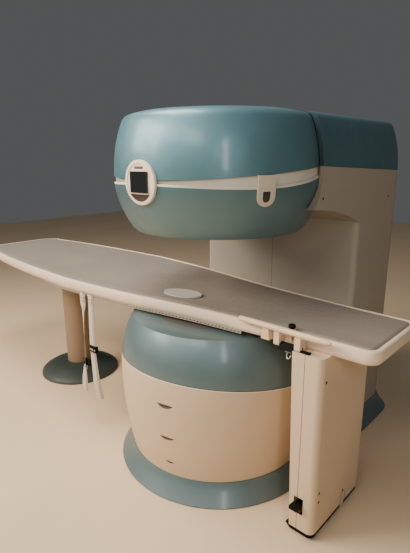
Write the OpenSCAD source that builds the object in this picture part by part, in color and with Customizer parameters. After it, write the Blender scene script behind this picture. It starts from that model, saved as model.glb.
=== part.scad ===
// Open C-arm scanner with a swinging patient table.
// The origin is on the floor under the centre of the two poles.
// +X runs along the table towards its rolling leg, +Y back to the column, +Z up.

/* [Magnet] */
// Height of the lower pole cover above the floor
pole_z = 742; // [700:1:790]
// Clear height between the two pole covers
pole_gap = 398; // [360:1:440]
// Largest radius of the lower drum
drum_r = 474; // [455:1:500]
// Height at which the drum is widest
belly_z = 480; // [430:1:520]
// How far the drum narrows from its belly to its foot
drum_taper = 42; // [20:1:60]
// How far the drum narrows from its belly to its shoulder
drum_shoulder = 66; // [40:1:90]
// Height of the teal and cream boundary at the drum's axis
drum_split_z = 503; // [470:1:530]
// Slope of that boundary, in degrees
drum_split_tilt = 7; // [3:0.5:10]
// Largest radius of the upper head
head_r = 463; // [445:1:480]
// Height of the widest line of the head above the upper pole cover
head_wide = 210; // [180:1:240]
// Height of the head's top above the upper pole cover
head_h = 500; // [470:1:540]
// How far the head's wall leans in at its top edge
head_lean = 44; // [20:1:60]
// How far the bowl narrows to its bottom edge
bowl_taper = 69; // [50:1:90]
// Wall thickness of every moulded cover
wall = 6; // [4:0.5:8]
// Dark gap between the head and the arm
arm_gap = 2; // [1:0.5:8]

/* [Column] */
// Half the width of the column and arm
col_half = 475; // [470:1:500]
// Front face of the column behind the poles, with a head of 463 mm radius
col_front = 455; // [440:1:480]
// Rear face of the column
col_back = 975; // [930:1:1050]
// Radius of the column's rear corners
col_rear_r = 110; // [90:1:140]
// Radius of the column's front ridges
col_ridge_r = 28; // [15:1:40]
// Height of the hood's lower edge at the poles' axis
hood_z = 1417; // [1400:1:1430]
// Fall of the hood's lower edge to the rear, in degrees
hood_fall = 2.4; // [0:0.2:4]
// Height of the flared base ring
plinth_h = 88; // [70:1:110]
// How far the base ring flares out at the floor
plinth_flare = 60; // [40:1:80]

/* [Steel and coils] */
// Thickness of each yoke plate
yoke_t = 200; // [150:5:230]
// Radius of the yoke's round ends
yoke_r = 380; // [350:1:400]
// Thickness of the rear yoke wall
yoke_wall = 280; // [220:5:300]
// Thickness of each ring of magnet blocks
magnet_t = 128; // [90:1:140]
// Radius of each magnet stack
magnet_r = 316; // [290:1:350]
// Thickness of each pole shoe
pole_t = 90; // [70:1:100]
// Radius of each pole shoe
pole_r = 324; // [300:1:360]
// Thickness of each gradient coil
gradient_t = 26; // [20:1:32]
// Thickness of each transmit coil
transmit_t = 12; // [8:1:16]

/* [Display and laser] */
// Width of the oval display
display_w = 168; // [140:1:180]
// Height of the oval display
display_h = 170; // [150:1:190]
// Sideways place of the display on the head
display_x = 8; // [-20:1:30]
// Width of the laser tongue
tongue_w = 72; // [60:1:84]
// Turn of the tongue from the table's axis, in degrees
tongue_turn = -27; // [-35:1:-20]

/* [Table] */
// Height of the table's upper edge
table_z = 823; // [810:1:850]
// Depth of the table's rim
rim_h = 54; // [48:1:60]
// Distance from the poles' axis to the table's leg end
table_right = 872; // [860:1:900]
// Distance from the poles' axis to the table's pivot end
table_left = 2020; // [1950:1:2100]
// Greatest half width of the table
table_half = 366; // [350:1:380]
// Half width of the table near its leg end
tail_half = 208; // [204:1:216]
// Width of the bare border round the mat
border_w = 22; // [18:1:50]
// Thickness of the mat
mat_t = 9; // [6:1:16]

/* [Pivot] */
// Distance from the poles' axis to the pivot
pivot_x = 1292; // [1200:1:1350]
// Radius of the pivot column
pivot_r = 82; // [70:1:95]
// Radius of the cone on the floor
cone_r = 260; // [230:1:280]
// Height of that cone
cone_h = 76; // [60:1:140]
// Radius of the pivot shaft
shaft_r = 30; // [24:1:36]
// Running clearance of shafts and pins
run_gap = 0.05; // [0.02:0.01:0.08]

/* [Leg] */
// Inner face of the leg at the floor
leg_in = 604; // [600:1:615]
// Outer face of the leg
leg_out = 706; // [700:1:730]
// Near face of the leg, before the table's axis
leg_near = 262; // [250:1:275]
// Far face of the leg, behind the table's axis
leg_far = 152; // [140:1:180]
// Widening of the leg's inner face at the top
leg_lean = 22; // [0:1:30]
// Height of the leg covers above the floor
leg_clear = 30; // [22:1:40]
// Wheel radius
wheel_r = 36; // [30:1:40]
// Wheel width
wheel_w = 30; // [22:1:36]

/* [Handle and straps] */
// Diameter of the push bar
bar_d = 23; // [18:1:28]
// Left end of the push bar
bar_x0 = 333; // [310:1:350]
// Right end of the push bar
bar_x1 = 725; // [690:1:740]
// Width of the strap webbing
strap_w = 48; // [38:1:50]
// Length of the hanging straps
strap_l = 575; // [500:5:620]

/* [Hidden] */

// Face to face seats keep this much air
seat = 0.3;
big = 4000;
teal = [0.36, 0.52, 0.56];
cream = [0.86, 0.80, 0.70];
dark = [0.12, 0.12, 0.13];
steel = [0.55, 0.56, 0.58];

// Heights of the poles and what stands behind them
head_z = pole_z + pole_gap;
head_top = head_z + head_h;
wide_z = head_z + head_wide;
shoulder_z = pole_z - 6;
head_edge_z = head_top - 38;
skin_z = pole_z - wall - seat;
skin_top_z = head_z + wall + seat;

// Heights of the lower stack, from the pole cover down
lo_transmit = skin_z - transmit_t;
lo_gradient = lo_transmit - gradient_t;
lo_pole = lo_gradient - pole_t;
lo_magnet = lo_pole - magnet_t;
lo_yoke = lo_magnet - yoke_t;
// Heights of the upper stack, from the pole cover up
up_transmit = skin_top_z;
up_gradient = up_transmit + transmit_t;
up_pole = up_gradient + gradient_t;
up_magnet = up_pole + pole_t;
up_yoke = up_magnet + magnet_t;
plate_t = 20;
// The steel ends this far short of the covers that lean in over it
yoke_air = 20;
yoke_back = col_back - head_lean - wall - yoke_air;
yoke_corner = col_rear_r - head_lean;
yoke_edge = head_lean * 0.7;
coil_r = pole_r - 24;

// Radius of the drum at a height
function drum_at(z) = z < belly_z
    ? drum_r - drum_taper * pow((belly_z - z) / (belly_z - plinth_h), 2)
    : drum_r - drum_shoulder * pow((z - belly_z) / (shoulder_z - belly_z), 2.5);
// Radius of the head at a height
function head_at(z) = z > wide_z
    ? head_r - head_lean * pow((z - wide_z) / (head_edge_z - wide_z), 2.5)
    : head_r - bowl_taper * pow((wide_z - z) / (wide_z - head_z - 16), 1.8);
function steps(a, b, n) = [for (i = [0 : n]) a + (b - a) * i / n];
function arc(cx, cy, r, a0, a1, n) =
    [for (i = [0 : n]) [cx + r * cos(a0 + (a1 - a0) * i / n), cy + r * sin(a0 + (a1 - a0) * i / n)]];

// Outline of the drum from the floor to the pole cover, moved in by an inset
function drum_line(inset) = concat(
    [[0, plinth_h - 22 - inset], [drum_at(plinth_h) - inset, plinth_h - 22 - inset]],
    [for (z = steps(plinth_h, belly_z, 8)) [drum_at(z) - inset, z]],
    [for (z = steps(belly_z, shoulder_z, 9)) if (z > belly_z) [drum_at(z) - inset, z - inset * 0.6]],
    [[drum_r - drum_shoulder - 26 - inset, pole_z - inset], [0, pole_z - inset]]);
// Outline of the head from its bottom edge to its crown, moved in by an inset
function head_line(inset) = concat(
    [[0, head_z + inset], [head_r - bowl_taper - 17 - inset, head_z + inset]],
    [for (z = steps(head_z + 16, wide_z, 9)) [head_at(z) - inset, z + (z < wide_z - 60 ? inset * 0.5 : 0)]],
    [for (z = steps(wide_z, head_edge_z, 8)) if (z > wide_z) [head_at(z) - inset, z]],
    [[head_r - head_lean - 12 - inset, head_edge_z + 13 - inset * 0.7],
     [head_r - head_lean - 32 - inset, head_top - 17 - inset],
     [head_r - head_lean - 70 - inset, head_top - 8 - inset], [0, head_top - inset]]);
module turn(points, facets = 96) rotate_extrude($fn = facets) polygon(points);

// Everything below the sloping boundary of the drum, raised by a lift
module below_drum_split(lift) translate([0, 0, drum_split_z + lift]) rotate([-drum_split_tilt, 0, 0])
    translate([-big / 2, -big / 2, -big]) cube([big, big, big]);
// The curves of the head and arm are drawn for a head of 463 mm radius and follow it
head_unit = head_r / 463;
// The column keeps its distance from the head
front_y = col_front * head_unit;
// The belt's upper edge rises to the rear, its lower edge sags between front and arm
belt_top_z = wide_z + 54 * head_unit;
belt_tilt = 4.6;
sag_r = 1950 * head_unit;
sag_y = -260 * head_unit;
sag_low_z = wide_z - 14 * head_unit;
module below_belt_top(lift) translate([0, 0, belt_top_z + lift]) rotate([belt_tilt, 0, 0])
    translate([-big / 2, -big / 2, -big]) cube([big, big, big]);
module above_belt_low(lift) translate([0, sag_y, sag_low_z + sag_r + lift]) rotate([0, 90, 0])
    cylinder(r = sag_r, h = big, center = true, $fn = 180);

// The seam between head and arm: an arc in side view, then straight up
seam_y = -138 * head_unit;
seam_z = wide_z + 56 * head_unit;
seam_r = 232 * head_unit;
function seam_line(shift) = concat(
    [[-big, 0], [seam_y + shift + seam_r * cos(56), 0]],
    [for (a = steps(-56, 0, 8)) [seam_y + shift + seam_r * cos(a), seam_z + seam_r * sin(a)]],
    [[seam_y + shift + seam_r, big], [-big, big]]);
// Side-view shapes are drawn in Y and Z and run along X
module side_shape(points, half) rotate([90, 0, 90]) translate([0, 0, -half])
    linear_extrude(2 * half) polygon(points);
module before_seam(shift) side_shape(seam_line(shift), big / 4);
// The arm's covers turn in at the seam and close the step to the round head
module seam_flange() difference() {
    before_seam(arm_gap / 2 + wall);
    turn(head_line(-arm_gap));
}

// Column plan: front ridges and rear corners rounded, moved in by an inset
module column_plan(inset, y0, y1, h) {
    w = col_half - inset;
    r1 = col_ridge_r - inset / 2;
    r2 = col_rear_r - inset;
    linear_extrude(h) polygon(concat(
        arc(w - r1, y0 + r1, r1, -90, 0, 6), arc(w - r2, y1 - r2, r2, 0, 90, 10),
        arc(-w + r2, y1 - r2, r2, 90, 180, 10), arc(-w + r1, y0 + r1, r1, 180, 270, 6)));
}
// A block with rounded rear corners whose side follows a list of [inset, height]
module profiled_block(half, y0, y1, r, side) {
    rotate([90, 0, 0]) translate([0, 0, r - y1]) linear_extrude(y1 - r - y0) polygon(concat(
        [for (p = side) [half - p[0], p[1]]],
        [for (i = [len(side) - 1 : -1 : 0]) [side[i][0] - half, side[i][1]]]));
    side_shape(concat([for (p = side) [y1 - p[0], p[1]]],
        [[y0, side[len(side) - 1][1]], [y0, side[0][1]]]), half - r);
    for (s = [-1, 1]) translate([s * (half - r), y1 - r, 0]) rotate_extrude($fn = 96) polygon(concat(
        [for (p = side) [r - p[0], p[1]]],
        [[0, side[len(side) - 1][1]], [0, side[0][1]]]));
}
function hood_side(inset) = concat(
    [[head_r - head_at(wide_z) + inset, wide_z]],
    [for (z = steps(wide_z, head_edge_z, 6)) if (z > wide_z) [head_r - head_at(z) + inset, z]],
    [[head_lean + 12 + inset, head_edge_z + 13 - inset * 0.7],
     [head_lean + 32 + inset, head_top - 17 - inset], [head_lean + 60 + inset, head_top - 10 - inset]]);
module above_hood_edge(lift) translate([0, 0, hood_z + lift]) rotate([-hood_fall, 0, 0])
    translate([-big / 2, -big / 2, 0]) cube([big, big, big]);

// The arm's underside is an arc in side view
under_r = 1388 * head_unit;
under_y = -43 * head_unit;
under_z = head_z + 105 * head_unit - under_r;
under_front = -40 * head_unit;
function under_at(y) = under_z + sqrt(under_r * under_r - (y - under_y) * (y - under_y));
function cover_line(up) = concat(
    [for (y = steps(under_front, front_y + up, 10)) [y, under_at(y) + up]],
    [[front_y + up, 0], [big / 2, 0], [big / 2, big / 2], [under_front, big / 2]]);

// Lower magnet

module base_plate() color(steel) difference() {
    nose = plate_half * 0.66;
    linear_extrude(plate_t) polygon([[-plate_half, -nose], [-nose, plate_front], [nose, plate_front],
        [plate_half, -nose], [plate_half, yoke_back], [-plate_half, yoke_back]]);
    for (s = [-1, 1]) for (y = [anchor_y0, anchor_y1])
        translate([s * anchor_x, y, -1]) cylinder(r = anchor_r, h = plate_t + 2, $fn = 32);
}
plate_half = drum_r * 0.74;
plate_front = -drum_r * 0.7;
anchor_x = 280;
anchor_y0 = -160;
anchor_y1 = 740;
anchor_r = 11;

// Welded stand of two cheeks and three cross webs with a top plate
cheek_w = yoke_t * 0.15;
web_t = yoke_t * 0.12;
module pedestal() color(steel) {
    top = lo_yoke - seat;
    w = yoke_r * 0.6;
    front = -yoke_r * 0.62;
    back = yoke_back - cheek_w;
    for (s = [-1, 1]) translate([s * (w - cheek_w / 2) - cheek_w / 2, front, plate_t])
        cube([cheek_w, back - front, top - plate_t - web_t]);
    for (y = [front, (front + back) / 2, back - web_t]) translate([cheek_w - w - 1, y, plate_t])
        cube([2 * (w - cheek_w) + 2, web_t, top - plate_t - web_t]);
    translate([-w - cheek_w, front - cheek_w, top - web_t])
        cube([2 * (w + cheek_w), back - front + 1.5 * cheek_w, web_t]);
}
module yoke_plan(inset, h) linear_extrude(h) polygon(concat(
    arc(0, 0, yoke_r - inset, 180, 360, 32),
    arc(yoke_r - yoke_corner, yoke_back - yoke_corner, yoke_corner - inset, 0, 90, 8),
    arc(yoke_corner - yoke_r, yoke_back - yoke_corner, yoke_corner - inset, 90, 180, 8)));
module lower_yoke() color(steel) translate([0, 0, lo_yoke]) yoke_plan(0, yoke_t);
// The upper plate steps in at its top edge, where the head and the hood lean in
module upper_yoke() color(steel) translate([0, 0, up_yoke]) {
    yoke_plan(0, yoke_t - yoke_edge);
    translate([0, 0, yoke_t - yoke_edge]) yoke_plan(yoke_edge, yoke_edge);
}
module rear_yoke() color(steel) translate([0, 0, lo_magnet]) intersection() {
    yoke_plan(0, up_yoke - lo_magnet);
    translate([-yoke_r, yoke_back - yoke_wall, 0]) cube([2 * yoke_r, yoke_wall, up_yoke]);
}
module lower_magnets() color([0.3, 0.3, 0.32]) translate([0, 0, lo_magnet])
    cylinder(r = magnet_r, h = magnet_t, $fn = 24);
module upper_magnets() color([0.3, 0.3, 0.32]) translate([0, 0, up_magnet])
    cylinder(r = magnet_r, h = magnet_t, $fn = 24);
// A pole shoe is a disc with a raised ring round the gradient coil
module pole_shoe() turn([[0, 0], [pole_r, 0], [pole_r, pole_t + gradient_t - 4],
    [pole_r - 8, pole_t + gradient_t], [coil_r, pole_t + gradient_t], [coil_r, pole_t], [0, pole_t]]);
module lower_pole_shoe() color(steel) translate([0, 0, lo_pole]) pole_shoe();
module upper_pole_shoe() color(steel) translate([0, 0, up_magnet]) mirror([0, 0, 1]) pole_shoe();
module lower_gradient_coil() color([0.72, 0.45, 0.2]) translate([0, 0, lo_gradient])
    cylinder(r = coil_r - seat, h = gradient_t, $fn = 96);
module upper_gradient_coil() color([0.72, 0.45, 0.2]) translate([0, 0, up_gradient])
    cylinder(r = coil_r - seat, h = gradient_t, $fn = 96);
module lower_transmit_coil() color([0.2, 0.45, 0.3]) translate([0, 0, lo_transmit])
    cylinder(r = coil_r - 8, h = transmit_t, $fn = 96);
module upper_transmit_coil() color([0.2, 0.45, 0.3]) translate([0, 0, up_transmit])
    cylinder(r = coil_r - 8, h = transmit_t, $fn = 96);

// Covers of the lower magnet

// Flared skirt: list of [outward reach, height]
flare_foot = 5;
flare_line = concat([[plinth_flare - 2, 0]], [for (t = steps(0, 1, 8))
    [5 + (plinth_flare - 5) * pow(1 - t, 1.25), flare_foot + (plinth_h - flare_foot) * t]]);
// A flared ridge of a given half width that runs along Y
module flare_run(half, y0, y1) rotate([90, 0, 0]) translate([0, 0, -y1]) linear_extrude(y1 - y0)
    polygon(concat([for (p = flare_line) [half + p[0], p[1]]],
        [for (i = [len(flare_line) - 1 : -1 : 0]) [-half - flare_line[i][0], flare_line[i][1]]]));
module flare_round(r) turn(concat([[0, 0]], [for (p = flare_line) [r + p[0], p[1]]], [[0, plinth_h]]));
module base_plinth() color(teal) {
    foot_r = drum_at(plinth_h) + seat;
    difference() {
        union() {
            flare_round(foot_r);
            flared_column();
            flare_run(neck_half, 100, front_y);
        }
        translate([0, 0, -1]) cylinder(r = foot_r, h = big, $fn = 96);
        translate([0, 0, -1]) column_plan(-seat, front_y - seat, col_back + seat, big);
        translate([-neck_half - seat, 0, -1]) cube([2 * (neck_half + seat), front_y + 50, big]);
        translate([0, 0, -1]) intersection() {
            cylinder(r = foot_r + plinth_flare - 2 * wall, h = 14, $fn = 96);
            translate([-big / 2, -big / 2, 0]) cube([big, big / 2 + front_y, 14]);
        }
    }
}
// The same flare round the column's plan
module flared_column() {
    w = col_half;
    line = flare_line;
    r = col_rear_r;
    y0 = front_y + col_ridge_r;
    flare_run(w, y0, col_back - r);
    side_shape(concat([for (p = line) [col_back + p[0], p[1]]], [[y0, plinth_h], [y0, 0]]), w - r);
    for (s = [-1, 1]) {
        translate([s * (w - r), col_back - r, 0]) flare_round(r);
        translate([s * (w - col_ridge_r), y0, 0]) flare_round(col_ridge_r);
    }
    side_shape(concat([for (p = line) [front_y - p[0], p[1]]], [[y0, plinth_h], [y0, 0]]), w - col_ridge_r);
}

// Housing round the yoke where it leaves the drum for the column
neck_half = yoke_r + 30;
neck_top = lo_magnet + 26;
neck_r = 24;
module neck_block(inset, y1) rotate([90, 0, 0]) translate([0, 0, -y1]) linear_extrude(y1 - 60)
    polygon(concat(arc(neck_half - neck_r, neck_top - neck_r, neck_r - inset, 0, 90, 6),
        arc(neck_r - neck_half, neck_top - neck_r, neck_r - inset, 90, 180, 6),
        [[inset - neck_half, 10], [neck_half - inset, 10]]));
module neck_cover() color(cream) difference() {
    neck_block(0, front_y - seat);
    neck_block(wall, front_y + 10);
    turn(drum_line(-seat));
    cylinder(r = drum_at(plinth_h) + seat, h = plinth_h, $fn = 96);
    translate([-big / 2, -big, 0]) cube([big, big, big]);
}

// Scoops down the drum: [height, width, depth of the leaf]
scoops = [[454, 84, 20], [295, 80, 16], [163, 48, 11]];
scoop_turn = -77;
module scoop_cut(s) {
    leaf_r = (s[1] * s[1] / 4 + s[2] * s[2]) / (2 * s[2]);
    rotate([0, 0, scoop_turn]) translate([drum_at(s[0]), 0, s[0]]) intersection() {
        translate([-60, 0, leaf_r - s[2]]) rotate([0, 90, 0]) cylinder(r = leaf_r, h = 90, $fn = 64);
        rotate([0, 38, 0]) translate([0, -s[1], -60]) cube([60, 2 * s[1], 60]);
    }
}
module scoop_back(s) rotate([0, 0, scoop_turn]) translate([drum_at(s[0]) - 26, 0, s[0] - s[2] / 2])
    rotate([0, 90, 0]) cylinder(r = s[1] / 2 + 6, h = 60, $fn = 48);
module drum_band() color(cream) difference() {
    intersection() {
        union() {
            difference() {
                turn(drum_line(0));
                turn(drum_line(wall));
            }
            for (s = scoops) intersection() {
                turn(drum_line(wall - 1));
                scoop_back(s);
            }
        }
        below_drum_split(-seat);
        translate([-big / 2, -big, 0]) cube([big, big + front_y - seat, big]);
    }
    for (s = scoops) scoop_cut(s);
    translate([0, 0, -1]) cylinder(r = drum_at(plinth_h) - wall, h = plinth_h, $fn = 96);
    neck_block(wall, big);
}
module drum_cover() color(teal) difference() {
    turn(drum_line(0));
    turn(drum_line(wall));
    below_drum_split(0);
    neck_block(wall, big);
    translate([0, 0, pole_z - wall - 1]) cylinder(r = coil_r, h = 4 * wall, $fn = 96);
    translate([-big / 2, front_y - seat, 0]) cube([big, big, big]);
}
module lower_pole_cover() color(cream) translate([0, 0, pole_z - wall])
    turn([[0, 0], [coil_r - seat, 0], [coil_r - seat, wall - 1.5], [coil_r - 2, wall], [0, wall]]);

// Covers of the upper head

module head_skin() difference() {
    turn(head_line(0));
    turn(head_line(wall));
}
module head_bowl() color(teal) difference() {
    intersection() {
        head_skin();
        below_belt_top(-seat);
        translate([-big / 2, -big, 0]) cube([big, big + front_y - seat, big]);
    }
    above_belt_low(0);
    translate([0, 0, head_z - 1]) cylinder(r = coil_r, h = 2 * wall, $fn = 96);
    translate([-yoke_r - 6, 60, up_yoke - 6]) cube([2 * yoke_r + 12, big, yoke_t]);
}
module upper_pole_cover() color(cream) translate([0, 0, head_z + wall]) mirror([0, 0, 1])
    turn([[0, 0], [coil_r - seat, 0], [coil_r - seat, wall - 1.5], [coil_r - 2, wall], [0, wall]]);
// The belt stands back from the shell above it, on a bright ledge
belt_step = 7;
ledge_t = 8;
module head_belt() color(cream) intersection() {
    difference() {
        turn(head_line(0));
        turn(head_line(wall + belt_step));
        difference() {
            translate([0, 0, wide_z - 90]) difference() {
                cylinder(r = head_r + 20, h = 250, $fn = 96);
                translate([0, 0, -1]) cylinder(r = head_r - belt_step, h = 260, $fn = 96);
            }
            difference() {
                translate([-big / 2, -big / 2, 0]) cube([big, big, big]);
                above_belt_low(ledge_t);
            }
        }
    }
    above_belt_low(seat);
    below_belt_top(-seat);
    before_seam(40);
}
module head_shell() color(teal) intersection() {
    difference() {
        head_skin();
        below_belt_top(0);
    }
    before_seam(-arm_gap / 2);
}
module arm_hood() color(teal) difference() {
    profiled_block(col_half, seam_y, col_back, col_rear_r, hood_side(0));
    difference() {
        profiled_block(col_half, seam_y - 10, col_back, col_rear_r, hood_side(wall));
        seam_flange();
    }
    before_seam(arm_gap / 2);
    difference() {
        translate([-big / 2, -big / 2, 0]) cube([big, big, big]);
        above_hood_edge(seat);
    }
}

// Covers of the column

// Below the arm the column's front ridges are rounded
arm_low = under_at(front_y) - 2;
module column_skin() difference() {
    intersection() {
        union() {
            column_plan(0, front_y, col_back, big / 2);
            translate([-col_half, seam_y, arm_low])
                cube([2 * col_half, col_back - col_rear_r - seam_y, big / 2]);
        }
        side_shape(cover_line(0), big / 4);
    }
    intersection() {
        union() {
            translate([0, 0, -1]) column_plan(wall, front_y + wall, col_back - wall, big / 2 + 2);
            translate([wall - col_half, seam_y - 1, arm_low + wall])
                cube([2 * (col_half - wall), col_back - col_rear_r - seam_y, big / 2]);
        }
        difference() {
            side_shape(cover_line(wall), big / 4);
            seam_flange();
        }
    }
    before_seam(arm_gap / 2);
    above_hood_edge(0);
    translate([-big / 2, -big / 2, -1]) cube([big, big, 11]);
    screw_recesses();
}
module screw_recesses() for (s = [-1, 1]) for (p = side_screws) translate([s * (p[2] - 2), p[0], p[1]])
    rotate([0, s * 90, 0]) cylinder(r = screw_r + seat, h = 10, $fn = 32);
screw_r = 6;
cheek_t = 3;
side_screws = [[95, head_z + 145, col_half + cheek_t], [790, head_z + 113, col_half]];
ridge = col_ridge_r + 4;
// The arm's cheek stands a little proud of the column's side, up to a curved crease
cheek_line = concat([for (y = steps(under_front, front_y - 16, 8)) [y, under_at(y) + 1]],
    [for (p = [[70, 38], [145, 66], [173, 118], [193, 191], [210, 300]])
        [front_y + p[0] * head_unit, head_z + p[1] * head_unit]],
    [[under_front, head_z + 300 * head_unit]]);
module cheek(s) translate([s > 0 ? col_half - wall + 1 : -col_half - cheek_t, 0, 0]) rotate([90, 0, 90])
    linear_extrude(wall - 1 + cheek_t) polygon(cheek_line);
module column_side(s) {
    intersection() {
        column_skin();
        translate([s > 0 ? col_half - ridge : -big, -big / 2, 0]) cube([big - col_half + ridge, big, big]);
        translate([-big / 2, -big, 0]) cube([big, big + col_back - col_rear_r, big]);
    }
    difference() {
        cheek(s);
        before_seam(arm_gap / 2);
        above_hood_edge(0);
        screw_recesses();
    }
}
module column_side_right() color(cream) column_side(1);
module column_side_left() color(cream) column_side(-1);
module column_front_panel() color([0.80, 0.75, 0.66]) difference() {
    intersection() {
        column_skin();
        translate([ridge + seat - col_half, front_y - 1, 0])
            cube([2 * (col_half - ridge - seat), 80, under_at(front_y) - seat]);
    }
    neck_block(wall, big);
}
module column_rear_panel() color(cream) intersection() {
    column_skin();
    translate([-big / 2, col_back - col_rear_r + seat, 0]) cube([big, big, big]);
}
under_panel_y = 30 * head_unit;
module arm_underside() color([0.74, 0.69, 0.6]) difference() {
    side_shape(concat([for (y = steps(under_panel_y, front_y - seat, 10)) [y, under_at(y)]],
        [for (y = steps(front_y - seat, under_panel_y, 10)) [y, under_at(y) + wall]]),
        col_half - ridge - seat);
    turn(head_line(-seat), 240);
}

// Display, laser and screws

// The oval housing: a rim round a sunk face that holds the screen
face_y = -head_r - 6;
bezel_w = 13;
screen_w = display_w * 0.6;
screen_h = display_h * 0.47;
screen_z = wide_z - 31;
lens_top = screen_z - 5;
slot_z = screen_z + screen_h + 9;
module display_oval(w, h, y0, y1) translate([display_x, y1, wide_z + 7]) rotate([90, 0, 0])
    linear_extrude(y1 - y0) polygon([for (a = [0 : 7.5 : 352.5]) [w / 2 * cos(a), h / 2 * sin(a)]]);
// The housing follows the head's curve: a rim round a face that lies a little lower
module display_shell(proud, w, h) intersection() {
    turn(head_line(-proud), 240);
    display_oval(w, h, face_y - 20, -head_r + 60);
}
module display_housing() color(cream) difference() {
    display_shell(11, display_w, display_h);
    turn(head_line(-seat), 240);
    difference() {
        display_oval(display_w - 2 * bezel_w, display_h - 2 * bezel_w, face_y - 20, 0);
        turn(head_line(-8), 240);
    }
    translate([display_x - screen_w / 2, face_y - 20, screen_z]) cube([screen_w, 24, screen_h]);
    translate([display_x - screen_w * 0.25, face_y - 20, slot_z]) cube([screen_w * 0.5, 22, 10]);
}
module display_screen() color(dark) translate([display_x - screen_w / 2 + seat, face_y - 3, screen_z + seat])
    cube([screen_w - 2 * seat, 5 - seat, screen_h - 2 * seat]);
module display_lens() color([0.2, 0.15, 0.1]) difference() {
    intersection() {
        display_shell(10, display_w - 2 * bezel_w - 2 * seat, display_h - 2 * bezel_w - 2 * seat);
        translate([-big / 2, -big / 2, 0]) cube([big, big, lens_top]);
    }
    turn(head_line(-8 - seat), 240);
}

tongue_low = head_z + 132;
tongue_top = head_z + 246;
tongue_proud = 8;
window_z = tongue_low + 16;
module tongue_outline(w, low, top, depth) rotate([90, 0, 90]) linear_extrude(depth)
    polygon(concat(arc(0, low + w / 2, w / 2, 180, 360, 12), [[w / 2, top], [-w / 2, top]]));
module laser_tongue() color(cream) rotate([0, 0, tongue_turn]) difference() {
    intersection() {
        turn(head_line(-tongue_proud), 240);
        tongue_outline(tongue_w, tongue_low, tongue_top, big / 2);
    }
    turn(head_line(-seat), 240);
    difference() {
        tongue_outline(window_w + 2 * seat, window_z - seat, window_z + window_h + seat, big / 2);
        turn(head_line(-3), 240);
    }
}
window_w = 30;
window_h = 40;
module laser_window() color(dark) rotate([0, 0, tongue_turn]) intersection() {
    difference() {
        turn(head_line(-6), 240);
        turn(head_line(-3 - seat), 240);
    }
    tongue_outline(window_w, window_z, window_z + window_h, big / 2);
}
module screw_head() {
    difference() {
        cylinder(r = screw_r, h = 2, $fn = 32);
        translate([0, 0, 1]) cylinder(r = 2.4, h = 2, $fn = 6);
    }
}
module cover_screws() color(dark) for (s = [-1, 1]) for (p = side_screws)
    translate([s * (p[2] - 2), p[0], p[1]]) rotate([0, s * 90, 0]) screw_head();

// Pivot

flange_t = 16;
flange_pcd = 300;
flange_hole_r = 7;
bearing_z = table_z - rim_h - 30;
shaft_l = 130;
frame_z = table_z - rim_h + 2;
module pivot_column() color(cream) translate([-pivot_x, 0, 0]) difference() {
    union() {
        cylinder(r = flange_pcd / 2 + 30, h = flange_t, $fn = 96);
        cylinder(r = pivot_r, h = bearing_z, $fn = 96);
    }
    for (a = [45 : 90 : 315]) rotate([0, 0, a]) translate([flange_pcd / 2, 0, -1])
        cylinder(r = flange_hole_r, h = flange_t + 2, $fn = 32);
    translate([0, 0, bearing_z - shaft_l - 10]) cylinder(r = shaft_r + run_gap, h = shaft_l + 11, $fn = 64);
}
// Side of the cone from the floor up: [share of its reach, share of its height]
cone_side = [[1, 0], [1, 0.1], [0.985, 0.2], [0.94, 0.31], [0.84, 0.46], [0.7, 0.61], [0.53, 0.76],
    [0.34, 0.88], [0.17, 0.96], [0.06, 1]];
module pivot_cone() color(teal) translate([-pivot_x, 0, 0]) {
    in_r = pivot_r + seat;
    turn(concat([for (p = cone_side) [pivot_r + (cone_r - pivot_r) * p[0], cone_h * p[1]]],
        [[in_r, cone_h], [in_r, cone_h - 12]],
        [for (i = [len(cone_side) - 2 : -1 : 0]) let (p = cone_side[i])
            [pivot_r + (cone_r - pivot_r) * p[0] - wall, max(0, cone_h * p[1] - wall)]]));
}
module pivot_shaft() color(steel) translate([-pivot_x, 0, 0]) {
    translate([0, 0, bearing_z - shaft_l]) cylinder(r = shaft_r, h = shaft_l + 10, $fn = 64);
    translate([0, 0, bearing_z + seat]) cylinder(r = pivot_r - 4, h = 14, $fn = 96);
    translate([-70, -150, bearing_z + 14]) cube([140, 300, frame_z - bearing_z - 14]);
}

// Table

// Half width of the table along its length, through named stations
stations = concat(
    [for (p = [[1, 0.41], [0.9406, 0.716], [0.8168, 0.8525], [0.6436, 0.948], [0.4455, 0.9973], [0.3713, 1],
        [0.1683, 0.9016]]) [-table_left * p[0], table_half * p[1]]],
    [for (p = [[0.0688, 1.279], [0.367, 1.1394], [0.6881, 1.0288], [1, 1]])
        [table_right * p[0], tail_half * p[1]]]);
function spline(p0, p1, p2, p3, t) = 0.5 * (2 * p1 + (p2 - p0) * t + (2 * p0 - 5 * p1 + 4 * p2 - p3) * t * t
    + (3 * p1 - p0 - 3 * p2 + p3) * t * t * t);
function station(i) = stations[max(0, min(len(stations) - 1, i))];
side_points = [for (i = [0 : len(stations) - 2]) for (k = [0 : 3])
    let (t = k / 4) [for (c = [0, 1]) spline(station(i - 1)[c], station(i)[c], station(i + 1)[c],
        station(i + 2)[c], t)]];
tail_r = tail_half * 0.264;
head_end_r = table_half * 0.355;
head_end_w = table_half * 0.41;
near_side = concat(
    arc(-table_left + head_end_r, -head_end_w, head_end_r, 180, 258, 5),
    [for (p = side_points) if (p[0] > -table_left + head_end_r + 10 && p[0] < table_right - tail_r - 20)
        [p[0], -p[1]]],
    arc(table_right - tail_r, -tail_half + tail_r, tail_r, 270, 360, 6));
function mirror_y(list) = [for (i = [len(list) - 1 : -1 : 0]) [list[i][0], -list[i][1]]];
outline = concat(near_side, mirror_y(near_side));
function unit(v) = v / norm(v);
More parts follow.
